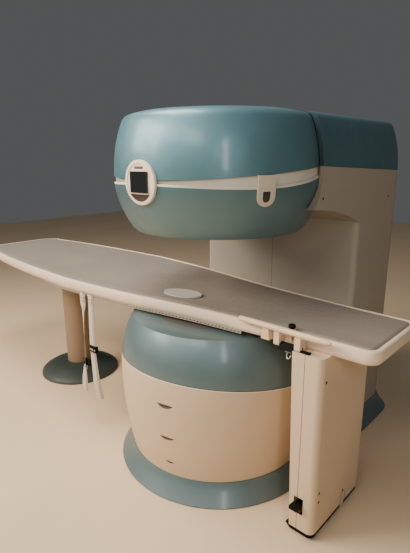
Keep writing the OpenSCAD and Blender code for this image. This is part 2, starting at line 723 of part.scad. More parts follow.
function out_normal(i) = let (n = len(outline), a = outline[(i + n - 1) % n], b = outline[(i + 1) % n],
    d = unit(b - a)) [d[1], -d[0]];
// The outline moved in by an inset, at a height
function ring(inset, z) = [for (i = [0 : len(outline) - 1])
    let (p = outline[i] - inset * out_normal(i)) [p[0], p[1], z]];
// Skin over a list of rings, closed to the first ring again
module ring_skin(rings) {
    n = len(rings[0]);
    m = len(rings);
    polyhedron(points = [for (r = rings) each r], faces = [for (j = [0 : m - 1]) for (i = [0 : n - 1])
        each let (a = j * n + i, b = j * n + (i + 1) % n, c = ((j + 1) % m) * n + (i + 1) % n,
            d = ((j + 1) % m) * n + i) [[a, c, b], [a, d, c]]], convexity = 6);
}
// The rim is a rounded ring, the deck lies in it and the mat on the deck
deck_t = 12;
deck_z = table_z - 6;
rim_low = table_z - rim_h;
module rim() ring_skin([ring(0, table_z - rim_h * 0.45), ring(1.5, table_z - 12), ring(5, table_z - 3),
    ring(10, table_z), ring(border_w - 2, table_z - 1), ring(border_w, deck_z),
    ring(border_w + 2, deck_z - deck_t), ring(20, deck_z - deck_t - 4), ring(17, rim_low + 3),
    ring(11, rim_low), ring(4, rim_low + 8), ring(1, rim_low + 18)]);
module tabletop() color(cream) {
    rim();
    translate([0, 0, deck_z - deck_t]) linear_extrude(deck_t)
        polygon([for (p = ring(border_w - 4, 0)) [p[0], p[1]]]);
}
module mat() color([0.42, 0.42, 0.43]) translate([0, 0, deck_z + seat]) linear_extrude(mat_t)
    polygon([for (p = ring(border_w + 4, 0)) [p[0], p[1]]]);
// Loose oval plate that lies on the mat
module accessory_plate() color([0.75, 0.73, 0.7]) translate([-85, -155, deck_z + mat_t + 2 * seat])
    rotate([0, 0, 12]) linear_extrude(7) polygon([for (a = [0 : 12 : 348]) [100 * cos(a), 56 * sin(a)]]);

beam_w = 40;
frame_h = deck_z - deck_t - seat - frame_z;
module table_frame() color(steel) {
    w = tail_half * 0.72;
    x0 = -table_left * 0.87;
    x1 = table_right * 0.79;
    for (s = [-1, 1]) translate([x0, s * (w - beam_w / 2) - beam_w / 2, frame_z])
        cube([x1 - x0, beam_w, frame_h]);
    for (x = [x0 + beam_w, -pivot_x, x0 * 0.5, x0 * 0.2, x1 * 0.3, x1 - 1.5 * beam_w])
        translate([x - beam_w * 0.75, 1 - w, frame_z]) cube([1.5 * beam_w, 2 * w - 2, frame_h]);
}

// Slotted rail under the near edge of the rim
rail_x0 = -1010;
rail_x1 = 320;
rail_z = rim_low - 13;
function near_at(x) = let (s = [for (i = [0 : len(side_points) - 2])
    if (side_points[i][0] <= x && side_points[i + 1][0] > x) i][0],
    a = side_points[s], b = side_points[s + 1])
    -(a[1] + (b[1] - a[1]) * (x - a[0]) / (b[0] - a[0]));
rail_pitch = 19;
rail_count = floor((rail_x1 - rail_x0) / rail_pitch);
module strap_rail() color([0.75, 0.7, 0.62]) difference() {
    translate([0, 0, rail_z]) linear_extrude(13 - seat) polygon(concat(
        [for (x = steps(rail_x0, rail_x1, 24)) [x, near_at(x) + 8]],
        [for (x = steps(rail_x1, rail_x0, 24)) [x, near_at(x) + 15]]));
    for (i = [0 : rail_count - 1]) let (x = rail_x0 + rail_pitch * (i + 0.5))
        translate([x - 6, near_at(x) - 4, rail_z + 3]) cube([12, 30, 5]);
}

strap_x = [-630, -565];
strap_t = 2.5;
function strap_back(x) = near_at(x - strap_w / 2) + 8 - seat;
module strap(x) color([0.92, 0.89, 0.84])
    translate([x - strap_w / 2, strap_back(x) - strap_t, rail_z - strap_l])
        cube([strap_w, strap_t, strap_l + 11]);
module strap_far() strap(strap_x[0]);
module strap_near() strap(strap_x[1]);
// Ladder buckles: a frame round the webbing with two bars across it
buckle_z = [360, 452];
buckle_h = 34;
module strap_buckles() color(dark) for (i = [0, 1]) let (x = strap_x[i])
    translate([x - strap_w / 2 - 5, strap_back(x) - strap_t - 5, buckle_z[i]]) difference() {
        cube([strap_w + 10, strap_t + 10, buckle_h]);
        translate([5 - seat, 5 - seat, -1]) cube([strap_w + 2 * seat, strap_t + 2 * seat, buckle_h + 2]);
        for (z = [6, 20]) translate([8, -1, z]) cube([strap_w - 6, 5, 8]);
    }

// Push bar and its brackets

bar_y = near_at(bar_x0 + (bar_x1 - bar_x0) * 0.48) - 34;
bar_z = table_z + 12;
bracket_x = [511, 600];
block_x = [440, 478];
module handle_bar() color([0.88, 0.78, 0.66]) translate([bar_x0, bar_y, bar_z]) rotate([0, 90, 0]) {
    l = bar_x1 - bar_x0;
    turn([[0, 0], [bar_d / 2 - 4, 0], [bar_d / 2 - 1, 2], [bar_d / 2, 6], [bar_d / 2, l - 60],
        [bar_d / 2 - 3, l - 12], [bar_d / 2 - 6, l], [0, l]]);
}
bracket_w = 24;
pin_r = 4;
lever_y = bar_y + 12;
lever_z = rim_low + 11;
knob_x = 543;
knob_y = near_at(knob_x) + 12;
jaw_t = 7;
jaw_w = 24;
jaw_l = 30;
bar_low = bar_z - bar_d / 2 + 1;
// Each bracket is fixed to the rim's side and holds the bar
module bracket(x) let (back = near_at(x - bracket_w / 2) - seat) translate([x - bracket_w / 2, 0, 0])
    rotate([90, 0, 90]) linear_extrude(bracket_w) polygon([[bar_y - 7, bar_low], [bar_y + 7, bar_low],
        [bar_y + 10, table_z - 14], [back - 5, table_z - 16], [back, table_z - 20], [back, rim_low + 16],
        [back - 6, rim_low + 2], [bar_y - 2, rim_low + 2], [bar_y - 8, rim_low + 8]]);
// A wedge that widens downwards fills the room between bar and rim
module bar_block() let (back = near_at(block_x[0]) - seat) rotate([90, 0, 0]) translate([0, 0, -back])
    linear_extrude(back - bar_y + 6) polygon([[block_x[0] + 9, bar_low], [block_x[1] - 5, bar_low],
        [block_x[1], rim_low + 12], [block_x[0], rim_low + 12]]);
// The jaw of the clamp reaches over the rim, with its body on the rim's side
module clamp_jaw() let (front = near_at(knob_x - jaw_w / 2) - jaw_t - seat)
    translate([knob_x - jaw_w / 2, front, 0]) {
        translate([0, 0, rim_low + 14]) cube([jaw_w, jaw_t, table_z + seat + jaw_t - rim_low - 14]);
        translate([0, 0, table_z + seat]) cube([jaw_w, jaw_l, jaw_t]);
    }
module handle_brackets() color([0.8, 0.72, 0.6]) difference() {
    union() {
        for (x = bracket_x) bracket(x);
        bar_block();
        clamp_jaw();
    }
    for (x = bracket_x) translate([x - bracket_w, lever_y, lever_z]) rotate([0, 90, 0])
        cylinder(r = pin_r + run_gap, h = 2 * bracket_w, $fn = 32);
    translate([bar_x0, bar_y, bar_z]) rotate([0, 90, 0])
        cylinder(r = bar_d / 2 + seat, h = bar_x1 - bar_x0, $fn = 48);
    translate([knob_x, knob_y, table_z]) cylinder(r = pin_r + run_gap, h = 2 * jaw_t, $fn = 32);
}
// A pin between the brackets carries a paddle that hangs below it
module release_lever() color(dark) {
    x0 = bracket_x[0] + bracket_w / 2 + 1;
    x1 = min(bracket_x[1] - bracket_w / 2 - 1, leg_in - leg_lean - 3);
    translate([bracket_x[0] - bracket_w / 2, lever_y, lever_z]) rotate([0, 90, 0])
        cylinder(r = pin_r, h = bracket_x[1] - bracket_x[0] + bracket_w, $fn = 32);
    translate([x0, lever_y, lever_z]) rotate([90, 0, 90]) linear_extrude(x1 - x0)
        polygon([[-6, -6], [6, -6], [6, 4], [3, 6], [-6, 6], [-20, -8], [-24, -16], [-19, -17]]);
}
module lock_knob() color(dark) translate([knob_x, knob_y, table_z + 2 * seat]) {
    cylinder(r = pin_r, h = jaw_t + 3, $fn = 32);
    translate([0, 0, jaw_t + seat]) turn([[0, 0], [10, 0], [14, 4], [14, 12], [11, 16], [0, 17]]);
}

// Rolling leg

leg_top = rim_low - seat;
seam_x = 636;
leg_r = 26;
module leg_plan(inset, z0, z1) {
    x0 = leg_in - leg_lean + inset;
    x1 = leg_out - inset;
    y0 = -leg_near + inset;
    y1 = leg_far - inset;
    r = leg_r - inset;
    intersection() {
        translate([0, 0, z0]) linear_extrude(z1 - z0) polygon(concat(
            arc(x1 - r, y0 + r, r, -90, 0, 6), arc(x1 - r, y1 - r, r, 0, 90, 6),
            [[x0, y1], [x0, y0]]));
        rotate([90, 0, 0]) translate([0, 0, -big / 2]) linear_extrude(big) polygon([
            [leg_in + inset, z0 - 1], [leg_out + 20, z0 - 1], [leg_out + 20, z1 + 1],
            [leg_in - leg_lean + inset, z1 + 1]]);
    }
}
pedal_x = 641;
pedal_y = -205;
pedal_z = 134;
leg_wall = 4;
slot_w = 40;
module leg_skin() difference() {
    leg_plan(0, leg_clear, leg_top);
    leg_plan(leg_wall, leg_clear - 2, leg_top - leg_wall);
    translate([leg_mid - post_w / 2 - seat, post_y0 - seat, leg_top - 20])
        cube([post_w + 2 * seat, post_y1 - post_y0 + 2 * seat, 40]);
    translate([pedal_x - slot_w / 2, -leg_near - 10, pedal_z - 34]) cube([slot_w, 40, 74]);
    for (p = leg_screw_at) translate([leg_out - 2, p[0], p[1]]) rotate([0, 90, 0])
        cylinder(r = screw_r + seat, h = 10, $fn = 32);
}
leg_screw_at = [[-225, 672], [-222, 205], [-222, 165], [-10, 92], [115, 672]];
module leg_cover_inner() color(cream) intersection() {
    leg_skin();
    translate([0, -big / 2, 0]) cube([seam_x - seat, big, big]);
}
module leg_cover_outer() color(cream) intersection() {
    leg_skin();
    translate([seam_x, -big / 2, 0]) cube([big, big, big]);
}
post_w = 60;
module leg_post() color(steel) translate([leg_mid - post_w / 2, 0, 0]) {
    foot = chassis_z + chassis_t;
    for (y = [post_y0 + beam_w / 2, post_y1 - 1.5 * beam_w]) translate([0, y, foot])
        cube([post_w, beam_w, frame_z - foot - post_cap]);
    translate([0, post_y0, frame_z - post_cap]) cube([post_w, post_y1 - post_y0, post_cap]);
    translate([0, post_y0 + beam_w, (foot + frame_z) / 2])
        cube([post_w, post_y1 - post_y0 - 2.2 * beam_w, beam_w]);
}
post_y0 = 102 - leg_near;
post_y1 = leg_far - 22;
post_cap = 8;
leg_mid = (leg_in + leg_out) / 2;
chassis_z = 2 * wheel_r + 4;
chassis_t = 12;
wheel_y = [-150, 96];
axle_r = 6;
// Channel that carries the two axles in pairs of ears
module leg_foot() color(steel) {
    difference() {
        translate([leg_mid - 36, -190, chassis_z]) cube([72, 325, chassis_t]);
        translate([leg_mid, 0, chassis_z - 1]) cylinder(r = stem_r + run_gap, h = chassis_t + 2, $fn = 32);
    }
    for (y = wheel_y) for (s = [-1, 1]) translate([leg_mid + s * (wheel_w / 2 + 8) - 4, y - 14, wheel_r - 12])
        difference() {
            cube([8, 28, chassis_z - wheel_r + 12]);
            translate([-1, 14, 12]) rotate([0, 90, 0]) cylinder(r = axle_r + run_gap, h = 10, $fn = 32);
        }
    for (s = [-1, 1]) translate([pedal_x + s * 19 - 4, pedal_y - 12, chassis_z + chassis_t - 4])
        difference() {
        cube([8, 40, pedal_z - chassis_z]);
        translate([-1, 12, pedal_z - chassis_z - chassis_t + 4]) rotate([0, 90, 0])
            cylinder(r = pin_r + run_gap, h = 10, $fn = 32);
    }
}
module wheel(y) color(dark) translate([leg_mid - wheel_w / 2, y, wheel_r]) rotate([0, 90, 0])
    turn([[axle_r + run_gap, 0], [wheel_r - 10, 0], [wheel_r - 8, 3], [wheel_r - 3, 3], [wheel_r, 6],
        [wheel_r, wheel_w - 6], [wheel_r - 3, wheel_w - 3], [wheel_r - 8, wheel_w - 3],
        [wheel_r - 10, wheel_w], [axle_r + run_gap, wheel_w]]);
module wheel_near() wheel(wheel_y[0]);
module wheel_far() wheel(wheel_y[1]);
module wheel_axles() color([0.7, 0.7, 0.72]) for (y = wheel_y)
    translate([leg_mid - wheel_w / 2 - 16, y, wheel_r]) rotate([0, 90, 0])
        cylinder(r = axle_r, h = wheel_w + 32, $fn = 32);
module leg_skirt() color(dark) difference() {
    leg_plan(3, 12, leg_clear - seat);
    leg_plan(9, 10, leg_clear + 2);
}
pedal_reach = 100;
pedal_slope = -9;
module brake_pedal() color(dark) translate([pedal_x, pedal_y, pedal_z]) {
    rotate([0, 90, 0]) cylinder(r = pin_r, h = 44, center = true, $fn = 32);
    rotate([pedal_slope, 0, 0]) {
        translate([-12, -pedal_reach + 20, -5]) cube([24, pedal_reach - 10, 10]);
        translate([-17, -pedal_reach, -6]) cube([34, 38, 14]);
        for (i = [0 : 3]) translate([-17, -pedal_reach + 4 + 9 * i, 8]) cube([34, 4, 2]);
    }
}
// Brake block on a stem that slides through the channel
stem_r = 9;
shoe_z = 9;
module brake_shoe() color(dark) {
    translate([leg_mid - 18, -32, shoe_z]) cube([36, 64, 16]);
    translate([leg_mid, 0, shoe_z + 10])
        cylinder(r = stem_r, h = chassis_z + chassis_t - shoe_z + 20, $fn = 32);
}
module leg_screws() color(dark) for (p = leg_screw_at)
    translate([leg_out - 2, p[0], p[1]]) rotate([0, 90, 0]) screw_head();

base_plate();
pedestal();
lower_yoke();
rear_yoke();
upper_yoke();
lower_magnets();
upper_magnets();
lower_pole_shoe();
upper_pole_shoe();
lower_gradient_coil();
upper_gradient_coil();
lower_transmit_coil();
upper_transmit_coil();
base_plinth();
neck_cover();
drum_band();
drum_cover();
lower_pole_cover();
upper_pole_cover();
head_bowl();
head_belt();
head_shell();
arm_hood();
column_side_right();
column_side_left();
column_front_panel();
column_rear_panel();
arm_underside();
display_housing();
display_screen();
display_lens();
laser_tongue();
laser_window();
cover_screws();
pivot_column();
pivot_cone();
pivot_shaft();
tabletop();
table_frame();
mat();
accessory_plate();
strap_rail();
strap_near();
strap_far();
strap_buckles();
handle_bar();
handle_brackets();
release_lever();
lock_knob();
leg_cover_inner();
leg_cover_outer();
leg_post();
leg_foot();
leg_skirt();
wheel_near();
wheel_far();
wheel_axles();
brake_pedal();
brake_shoe();
leg_screws();
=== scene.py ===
import math

import bpy
import numpy as np
from mathutils import Matrix, Vector, noise


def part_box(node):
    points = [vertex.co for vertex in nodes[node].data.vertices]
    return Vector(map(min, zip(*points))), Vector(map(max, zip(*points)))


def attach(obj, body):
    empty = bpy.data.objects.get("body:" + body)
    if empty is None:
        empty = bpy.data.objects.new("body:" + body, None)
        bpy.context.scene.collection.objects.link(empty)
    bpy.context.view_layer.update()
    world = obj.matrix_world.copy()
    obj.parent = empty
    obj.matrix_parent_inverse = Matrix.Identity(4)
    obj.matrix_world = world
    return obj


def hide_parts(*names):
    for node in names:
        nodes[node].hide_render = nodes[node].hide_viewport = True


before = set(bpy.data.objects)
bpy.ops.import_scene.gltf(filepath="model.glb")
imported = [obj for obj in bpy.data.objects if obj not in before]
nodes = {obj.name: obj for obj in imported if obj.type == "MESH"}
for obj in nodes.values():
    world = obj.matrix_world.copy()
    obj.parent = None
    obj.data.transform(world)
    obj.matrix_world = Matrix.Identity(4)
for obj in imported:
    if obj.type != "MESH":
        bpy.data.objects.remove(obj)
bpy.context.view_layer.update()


# Camera fitted to the photograph: metres, degrees, and the focal length in pixels of the image

EYE = (1.380, -1.598, 1.45)
PITCH, TURN, ROLL = 14.7, 42.5, -0.25
FOCAL, IMAGE_HEIGHT, SENSOR = 455, 553, 36


def make_camera():
    data = bpy.data.cameras.new("camera")
    cam = bpy.data.objects.new("camera", data)
    bpy.context.scene.collection.objects.link(cam)
    data.sensor_fit = "VERTICAL"
    data.sensor_height = SENSOR
    data.lens = FOCAL / IMAGE_HEIGHT * SENSOR
    data.dof.use_dof = False
    pitch, turn, roll = math.radians(PITCH), math.radians(TURN), math.radians(ROLL)
    ahead = Vector((-math.sin(turn) * math.cos(pitch), math.cos(turn) * math.cos(pitch), -math.sin(pitch)))
    level = Vector((math.cos(turn), math.sin(turn), 0))
    right = level * math.cos(roll) + level.cross(ahead) * math.sin(roll)
    matrix = Matrix((right, right.cross(ahead), -ahead)).transposed().to_4x4()
    matrix.translation = EYE
    cam.matrix_world = matrix
    bpy.context.scene.camera = cam


make_camera()


# Nodes of a material

SOCKETS = {
    "color": "Base Color", "metallic": "Metallic", "roughness": "Roughness", "coat": "Coat Weight",
    "coat_roughness": "Coat Roughness", "specular": "Specular IOR Level", "sheen": "Sheen Weight",
    "sheen_roughness": "Sheen Roughness",
}
MIX_FACTOR, MIX_A, MIX_B, MIX_RESULT = 0, 6, 7, 2    # sockets of a Mix node that mixes colours
BEVEL_SAMPLES = 4


class Look:
    """One material with the Principled shader and helpers that add texture nodes to it."""

    def __init__(self, name, **values):
        self.material = bpy.data.materials.new(name)
        self.material.use_nodes = True
        self.tree = self.material.node_tree
        self.shader = self.tree.nodes["Principled BSDF"]
        self.normal = None
        self.color = values["color"]
        for key, value in values.items():
            self.feed(self.shader.inputs[SOCKETS[key]], (*value, 1) if key == "color" else value)

    def feed(self, socket, value):
        """Links another node's output to the socket, or sets the socket itself."""
        if isinstance(value, bpy.types.NodeSocket):
            self.tree.links.new(value, socket)
        else:
            socket.default_value = value

    def put(self, kind, **inputs):
        n = self.tree.nodes.new("ShaderNode" + kind)
        for key, value in inputs.items():
            self.feed(n.inputs[key], value)
        return n

    def place(self, stretch=None, source="Object"):
        coords = self.put("TexCoord").outputs[source]
        return self.put("Mapping", Vector=coords, Scale=stretch).outputs["Vector"] if stretch else coords

    def part(self, axis, vector=None):
        """X, Y or Z of the vector, or else of the place on the surface."""
        return self.put("SeparateXYZ", Vector=vector or self.place()).outputs[axis]

    def noise(self, scale, detail, stretch=None, roughness=0.5, distortion=0.0):
        return self.put("TexNoise", Vector=self.place(stretch), Scale=scale, Detail=detail,
                        Roughness=roughness, Distortion=distortion).outputs["Fac"]

    def cells(self, scale):
        return self.put("TexVoronoi", Vector=self.place(), Scale=scale).outputs["Distance"]

    def wave(self, scale, axis, source="Object", distortion=0.0):
        n = self.put("TexWave", Vector=self.place(source=source), Scale=scale, Distortion=distortion)
        n.bands_direction = axis
        return n.outputs["Fac"]

    def rings(self, scale):
        """Rings round the upright axis."""
        n = self.put("TexWave", Vector=self.place(), Scale=scale)
        n.wave_type = "RINGS"
        n.rings_direction = "Z"
        return n.outputs["Fac"]

    def math(self, how, a, b=0.0):
        n = self.put("Math")
        n.operation = how
        for socket, value in zip(n.inputs, (a, b)):
            self.feed(socket, value)
        return n.outputs["Value"]

    def product(self, *values):
        result = values[0]
        for value in values[1:]:
            result = self.math("MULTIPLY", result, value)
        return result

    def remap(self, value, low, high, out_low=0.0, out_high=1.0):
        return self.put("MapRange", Value=value, **{"From Min": low, "From Max": high, "To Min": out_low,
                                                    "To Max": out_high}).outputs["Result"]

    def below(self, value, low, high):
        """1 where the value is under low, 0 where it is over high."""
        return self.remap(value, low, high, 1.0, 0.0)

    def clouds(self, scale, detail, low=0.0, high=1.0, spread=(0.3, 0.7), **more):
        """Noise from low to high; the spread is the stretch of the noise that fills them."""
        return self.remap(self.noise(scale, detail, **more), *spread, low, high)

    def mix(self, factor, a, b):
        n = self.put("Mix")
        n.data_type = "RGBA"
        self.feed(n.inputs[MIX_FACTOR], factor)
        for i, value in ((MIX_A, a), (MIX_B, b)):
            self.feed(n.inputs[i], (*value, 1) if isinstance(value, tuple) else value)
        return n.outputs[MIX_RESULT]

    def shade(self, factor):
        return tuple(min(1.0, c * factor) for c in self.color)

    def tones(self, scale, detail, dark, light, **more):
        """The look's own colour, drifting between two shades of it."""
        return self.mix(self.clouds(scale, detail, **more), self.shade(dark), self.shade(light))

    def facing(self):
        """The way that the real face looks, without smoothing or bump."""
        return self.put("NewGeometry").outputs["True Normal"]

    def outward(self):
        """How far a face looks away from the axis of head and drum: 1 straight out, -1 straight in."""
        away = self.put("VectorMath", Vector=self.place(stretch=(1, 1, 0.0001)))
        away.operation = "NORMALIZE"
        n = self.put("VectorMath", Vector=away.outputs["Vector"])
        n.operation = "DOT_PRODUCT"
        self.feed(n.inputs[1], self.facing())
        return n.outputs["Value"]

    def line(self, x):
        """1 on a narrow upright line at this X."""
        off = self.math("ABSOLUTE", self.math("SUBTRACT", self.part("X"), x))
        return self.below(off, *LINE_HALF)

    def drive(self, key, value):
        self.feed(self.shader.inputs[SOCKETS[key]], value)

    def gloss(self, scale, detail, low, high, **more):
        """Roughness that drifts between two values."""
        self.drive("roughness", self.clouds(scale, detail, low, high, **more))

    def bevel(self, radius):
        n = self.put("Bevel", Radius=radius)
        n.samples = BEVEL_SAMPLES
        self.normal = n.outputs["Normal"]

    def bump(self, value, distance, strength):
        n = self.put("Bump", Height=value, Distance=distance, Strength=strength)
        if self.normal:
            self.feed(n.inputs["Normal"], self.normal)
        self.normal = n.outputs["Normal"]

    def done(self):
        self.feed(self.shader.inputs["Normal"], self.normal)
        return self.material


# Marks in the materials: places are metres in the shared frame, a pair is where an edge starts and ends

SPLIT_SLOPE, SPLIT_HEIGHT = 0.1228, 0.503            # tilted joint between the drum's two covers
SPLIT_DARK, SPLIT_LIP_HIGHLIGHT = (0.0016, 0.0032), (-0.0046, -0.0032)    # heights over it: dark joint, painted highlight on the lip
SEAM_END_Y = (0.36, 0.38)                            # where the joint of head and arm ends
SEAM_FACING, SEAM_SIDEWAYS = (-0.35, -0.12), 0.15    # its walls face the axis, and -Y or nearly sideways
LINE_HALF = (0.0008, 0.0017)                         # half the width of a joint drawn as a line
PANEL_JOINT_X = 0.0                                  # joint down the column's front panel
LEG_JOINT_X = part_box("leg_cover_inner")[1].x + 0.0001    # where the leg's two covers meet
SCOOP_LEFT, SCOOP_RIGHT = (0.01, 0.03), (0.17, 0.19)
SCOOP_FOOT, SCOOP_TOP = (0.11, 0.13), (0.475, 0.49)
SCOOP_BACK_Y = (-0.36, -0.34)
SCOOP_OUTWARD = (0.80, 0.90)                         # a scoop's floor looks less outward than the band
BELT_ARC_Y, BELT_ARC_Z, BELT_ARC_RADIUS = -0.26, 3.286, 1.95    # lower edge of the head's belt
BELT_LIP_HIGHLIGHT = (0.0076, 0.0090)                          # height over that edge where the painted highlight on its lip ends


def painted_seam_shade(m):
    """1 on a cover's turned in edge where head and arm meet, the near walls that face the head's axis;
    painted shade goes there.
    """
    ahead = m.math("ADD", m.part("Y", m.facing()), SEAM_SIDEWAYS)
    least = m.math("MINIMUM", m.outward(), ahead)
    return m.product(m.below(m.part("Y"), *SEAM_END_Y), m.below(least, *SEAM_FACING))


def above_split(m):
    """Height over the tilted joint between the drum's cream band and its teal cover."""
    return m.math("ADD", m.product(m.part("Y"), SPLIT_SLOPE), m.math("SUBTRACT", m.part("Z"), SPLIT_HEIGHT))


# Painted shade on the cream side covers' walls at the seam of head and arm.
def side_seam_painted_shade(m, tone):
    return m.mix(painted_seam_shade(m), tone, (0.21, 0.185, 0.15))


def panel_joint(m, tone):
    return m.mix(m.line(PANEL_JOINT_X), tone, m.shade(0.35))


def leg_joint(m, tone):
    return m.mix(m.line(LEG_JOINT_X), tone, (0.16, 0.115, 0.085))


def scoop_shade_and_lip_highlight(m, tone):
    """Shaded floors of the three scoops, and the light catching edge under the teal cover."""
    upright = m.product(m.below(m.part("Z"), *SCOOP_TOP), m.remap(m.part("Z"), *SCOOP_FOOT))
    across = m.product(m.remap(m.part("X"), *SCOOP_LEFT), m.below(m.part("X"), *SCOOP_RIGHT))
    front = m.below(m.part("Y"), *SCOOP_BACK_Y)
    scoop_shade = m.product(m.below(m.outward(), *SCOOP_OUTWARD), upright, across, front)
    tone = m.mix(scoop_shade, tone, (0.20, 0.165, 0.115))
    return m.mix(m.remap(above_split(m), *SPLIT_LIP_HIGHLIGHT), tone, (0.95, 0.84, 0.68))


# Materials

def teal_paint(name="teal_paint", color=(0.093, 0.205, 0.246), metallic=0.45, roughness=0.47, coat=0.34,
               paint_seam_shade=False, joint=False):
    """Metallic teal lacquer: fine flake, orange peel, cloudy tone and hand marks in the gloss."""
    m = Look(name, color=color, metallic=metallic, roughness=roughness, coat=coat, coat_roughness=0.17)
    flake = m.remap(m.cells(2600), 0.15, 0.75)
    tone = m.mix(m.product(flake, 0.35), m.tones(2.1, 4, 0.93, 1.06), m.shade(1.55))
    ragged_height = m.math("ADD", m.part("Z"), m.product(m.noise(9, 5), 0.05))
    tone = m.mix(m.remap(ragged_height, 0.02, 0.09, 0.35, 0.0), tone, (0.14, 0.15, 0.14))
    smear = m.clouds(14, 6, roughness - 0.06, roughness + 0.09, spread=(0.3, 0.75), roughness=0.65)
    # Painted shade on the turned in walls at the seam of head and arm: darker colour, rougher and without
    # coat there.
    if paint_seam_shade:
        dark = painted_seam_shade(m)
        tone = m.mix(dark, tone, (0.030, 0.056, 0.064))
        smear = m.math("ADD", smear, m.product(dark, 0.4))
        m.drive("coat", m.product(m.math("SUBTRACT", 1.0, dark), coat))
    if joint:
        tone = m.mix(m.below(above_split(m), *SPLIT_DARK), tone, (0.022, 0.028, 0.028))
    m.drive("color", tone)
    m.drive("roughness", smear)
    m.bevel(0.0016)
    m.bump(m.noise(190, 2), 0.00012, 0.5)
    return m.done()


def cream_plastic(name="cream_plastic", color=(0.685, 0.535, 0.375), dirt=0.5, extra=None):
    """Warm moulded cover with a fine spark-eroded grain, faint yellowing and scuffs near the floor."""
    m = Look(name, color=color, roughness=0.5, specular=0.42)
    yellowed = tuple(c * k for c, k in zip(color, (0.97, 0.945, 0.90)))
    tone = m.mix(m.clouds(1.7, 4, spread=(0.32, 0.7)), m.shade(1.03), yellowed)
    scuff = m.clouds(26, 7, spread=(0.60, 0.72), stretch=(1, 1, 2.6), roughness=0.7, distortion=0.8)
    tone = m.mix(m.product(scuff, m.remap(m.part("Z"), 0.06, 0.34, dirt, 0.0)), tone, m.shade(0.66))
    m.drive("color", extra(m, tone) if extra else tone)
    m.gloss(40, 5, 0.44, 0.57)
    m.bevel(0.0016)
    m.bump(m.noise(1500, 2), 0.00006, 0.7)
    m.bump(m.noise(5.5, 2), 0.0006, 0.35)
    return m.done()


def belt_plastic():
    """Cover strip of the head: grey cream darkened by painted shade from the shell's overhang, paler towards
    +X, with a painted highlight on the lip at its lower edge.
    """
    m = Look("belt_plastic", color=(0.43, 0.39, 0.32), roughness=0.46, specular=0.42)
    off = m.math("SUBTRACT", m.part("Y"), BELT_ARC_Y)
    arc = m.math("SQRT", m.math("SUBTRACT", BELT_ARC_RADIUS ** 2, m.product(off, off)))
    above = m.math("SUBTRACT", m.part("Z"), m.math("SUBTRACT", BELT_ARC_Z, arc))
    # Painted highlight along the lip at the belt's lower edge, fading out towards +X.
    lip_highlight = m.product(m.below(above, *BELT_LIP_HIGHLIGHT), m.remap(m.part("X"), 0.13, 0.24, 1.0, 0.12))
    tone = m.mix(m.remap(m.part("X"), 0.10, 0.34), m.tones(7, 4, 0.94, 1.06), (0.66, 0.62, 0.54))
    m.drive("color", m.mix(lip_highlight, tone, (0.92, 0.86, 0.76)))
    m.gloss(40, 5, 0.40, 0.54)
    m.bevel(0.0012)
    m.bump(m.noise(1500, 2), 0.00006, 0.7)
    return m.done()


def satin_plastic(name, color, roughness):
    m = Look(name, color=color, roughness=roughness, specular=0.5, coat=0.12, coat_roughness=0.2)
    m.drive("color", m.tones(6, 4, 0.95, 1.05))
    m.gloss(60, 5, roughness - 0.06, roughness + 0.08)
    m.bevel(0.0012)
    m.bump(m.noise(900, 2), 0.00005, 0.6)
    return m.done()


def black_plastic():
    m = Look("black_plastic", color=(0.006, 0.0055, 0.005), roughness=0.6, specular=0.08)
    m.drive("color", m.tones(35, 5, 0.8, 1.7, spread=(0.4, 0.7)))
    m.gloss(70, 5, 0.52, 0.70)
    m.bevel(0.0010)
    m.bump(m.noise(1300, 2), 0.00008, 0.8)
    return m.done()


def wheel_rubber():
    m = Look("wheel_rubber", color=(0.030, 0.030, 0.031), roughness=0.72, specular=0.3)
    dust = m.clouds(45, 6, 0.0, 0.6, spread=(0.45, 0.7), roughness=0.7)
    m.drive("color", m.mix(dust, m.shade(0.9), (0.13, 0.12, 0.11)))
    m.gloss(90, 4, 0.62, 0.82)
    m.bevel(0.0012)
    m.bump(m.noise(700, 3), 0.00018, 0.8)
    return m.done()


def zinc_steel():
    m = Look("zinc_steel", color=(0.50, 0.50, 0.50), metallic=1.0, roughness=0.34)
    m.drive("color", m.mix(m.remap(m.cells(130), 0.2, 0.8), m.shade(0.82), m.shade(1.12)))
    m.gloss(180, 5, 0.26, 0.48, stretch=(1, 14, 1))
    m.bevel(0.0010)
    m.bump(m.noise(260, 3, stretch=(1, 10, 1)), 0.00005, 0.6)
    return m.done()


def painted_steel():
    m = Look("painted_steel", color=(0.075, 0.08, 0.088), metallic=0.2, roughness=0.5)
    m.drive("color", m.tones(5, 5, 0.8, 1.2))
    m.gloss(50, 5, 0.42, 0.62)
    m.bevel(0.002)
    m.bump(m.noise(300, 3), 0.00025, 0.7)
    return m.done()


def magnet_blocks():
    """Nickel plated blocks, a grid of joints between them."""
    m = Look("magnet_blocks", color=(0.33, 0.33, 0.34), metallic=0.9, roughness=0.4)
    joint = m.math("MAXIMUM", *(m.remap(m.wave(3.2, axis), 0.97, 1.0) for axis in "XY"))
    m.drive("color", m.mix(joint, m.tones(12, 4, 0.85, 1.1), (0.05, 0.05, 0.05)))
    m.gloss(90, 4, 0.32, 0.5)
    m.bump(m.math("SUBTRACT", 1.0, joint), 0.0008, 0.8)
    return m.done()


def coil_resin():
    """Amber resin with copper turns showing through."""
    m = Look("coil_resin", color=(0.30, 0.17, 0.06), roughness=0.32, coat=0.5, coat_roughness=0.12)
    copper = m.remap(m.rings(22), 0.35, 0.65)
    m.drive("color", m.mix(copper, m.shade(0.6), (0.46, 0.20, 0.08)))
    m.gloss(60, 4, 0.26, 0.42)
    m.bump(copper, 0.0006, 0.5)
    return m.done()


def screen_glass(name="screen_glass", color=(0.012, 0.013, 0.014)):
    m = Look(name, color=color, roughness=0.09, specular=0.6, coat=1.0, coat_roughness=0.03)
    m.gloss(70, 6, 0.06, 0.20, spread=(0.35, 0.75), distortion=1.2)
    m.bevel(0.0008)
    return m.done()


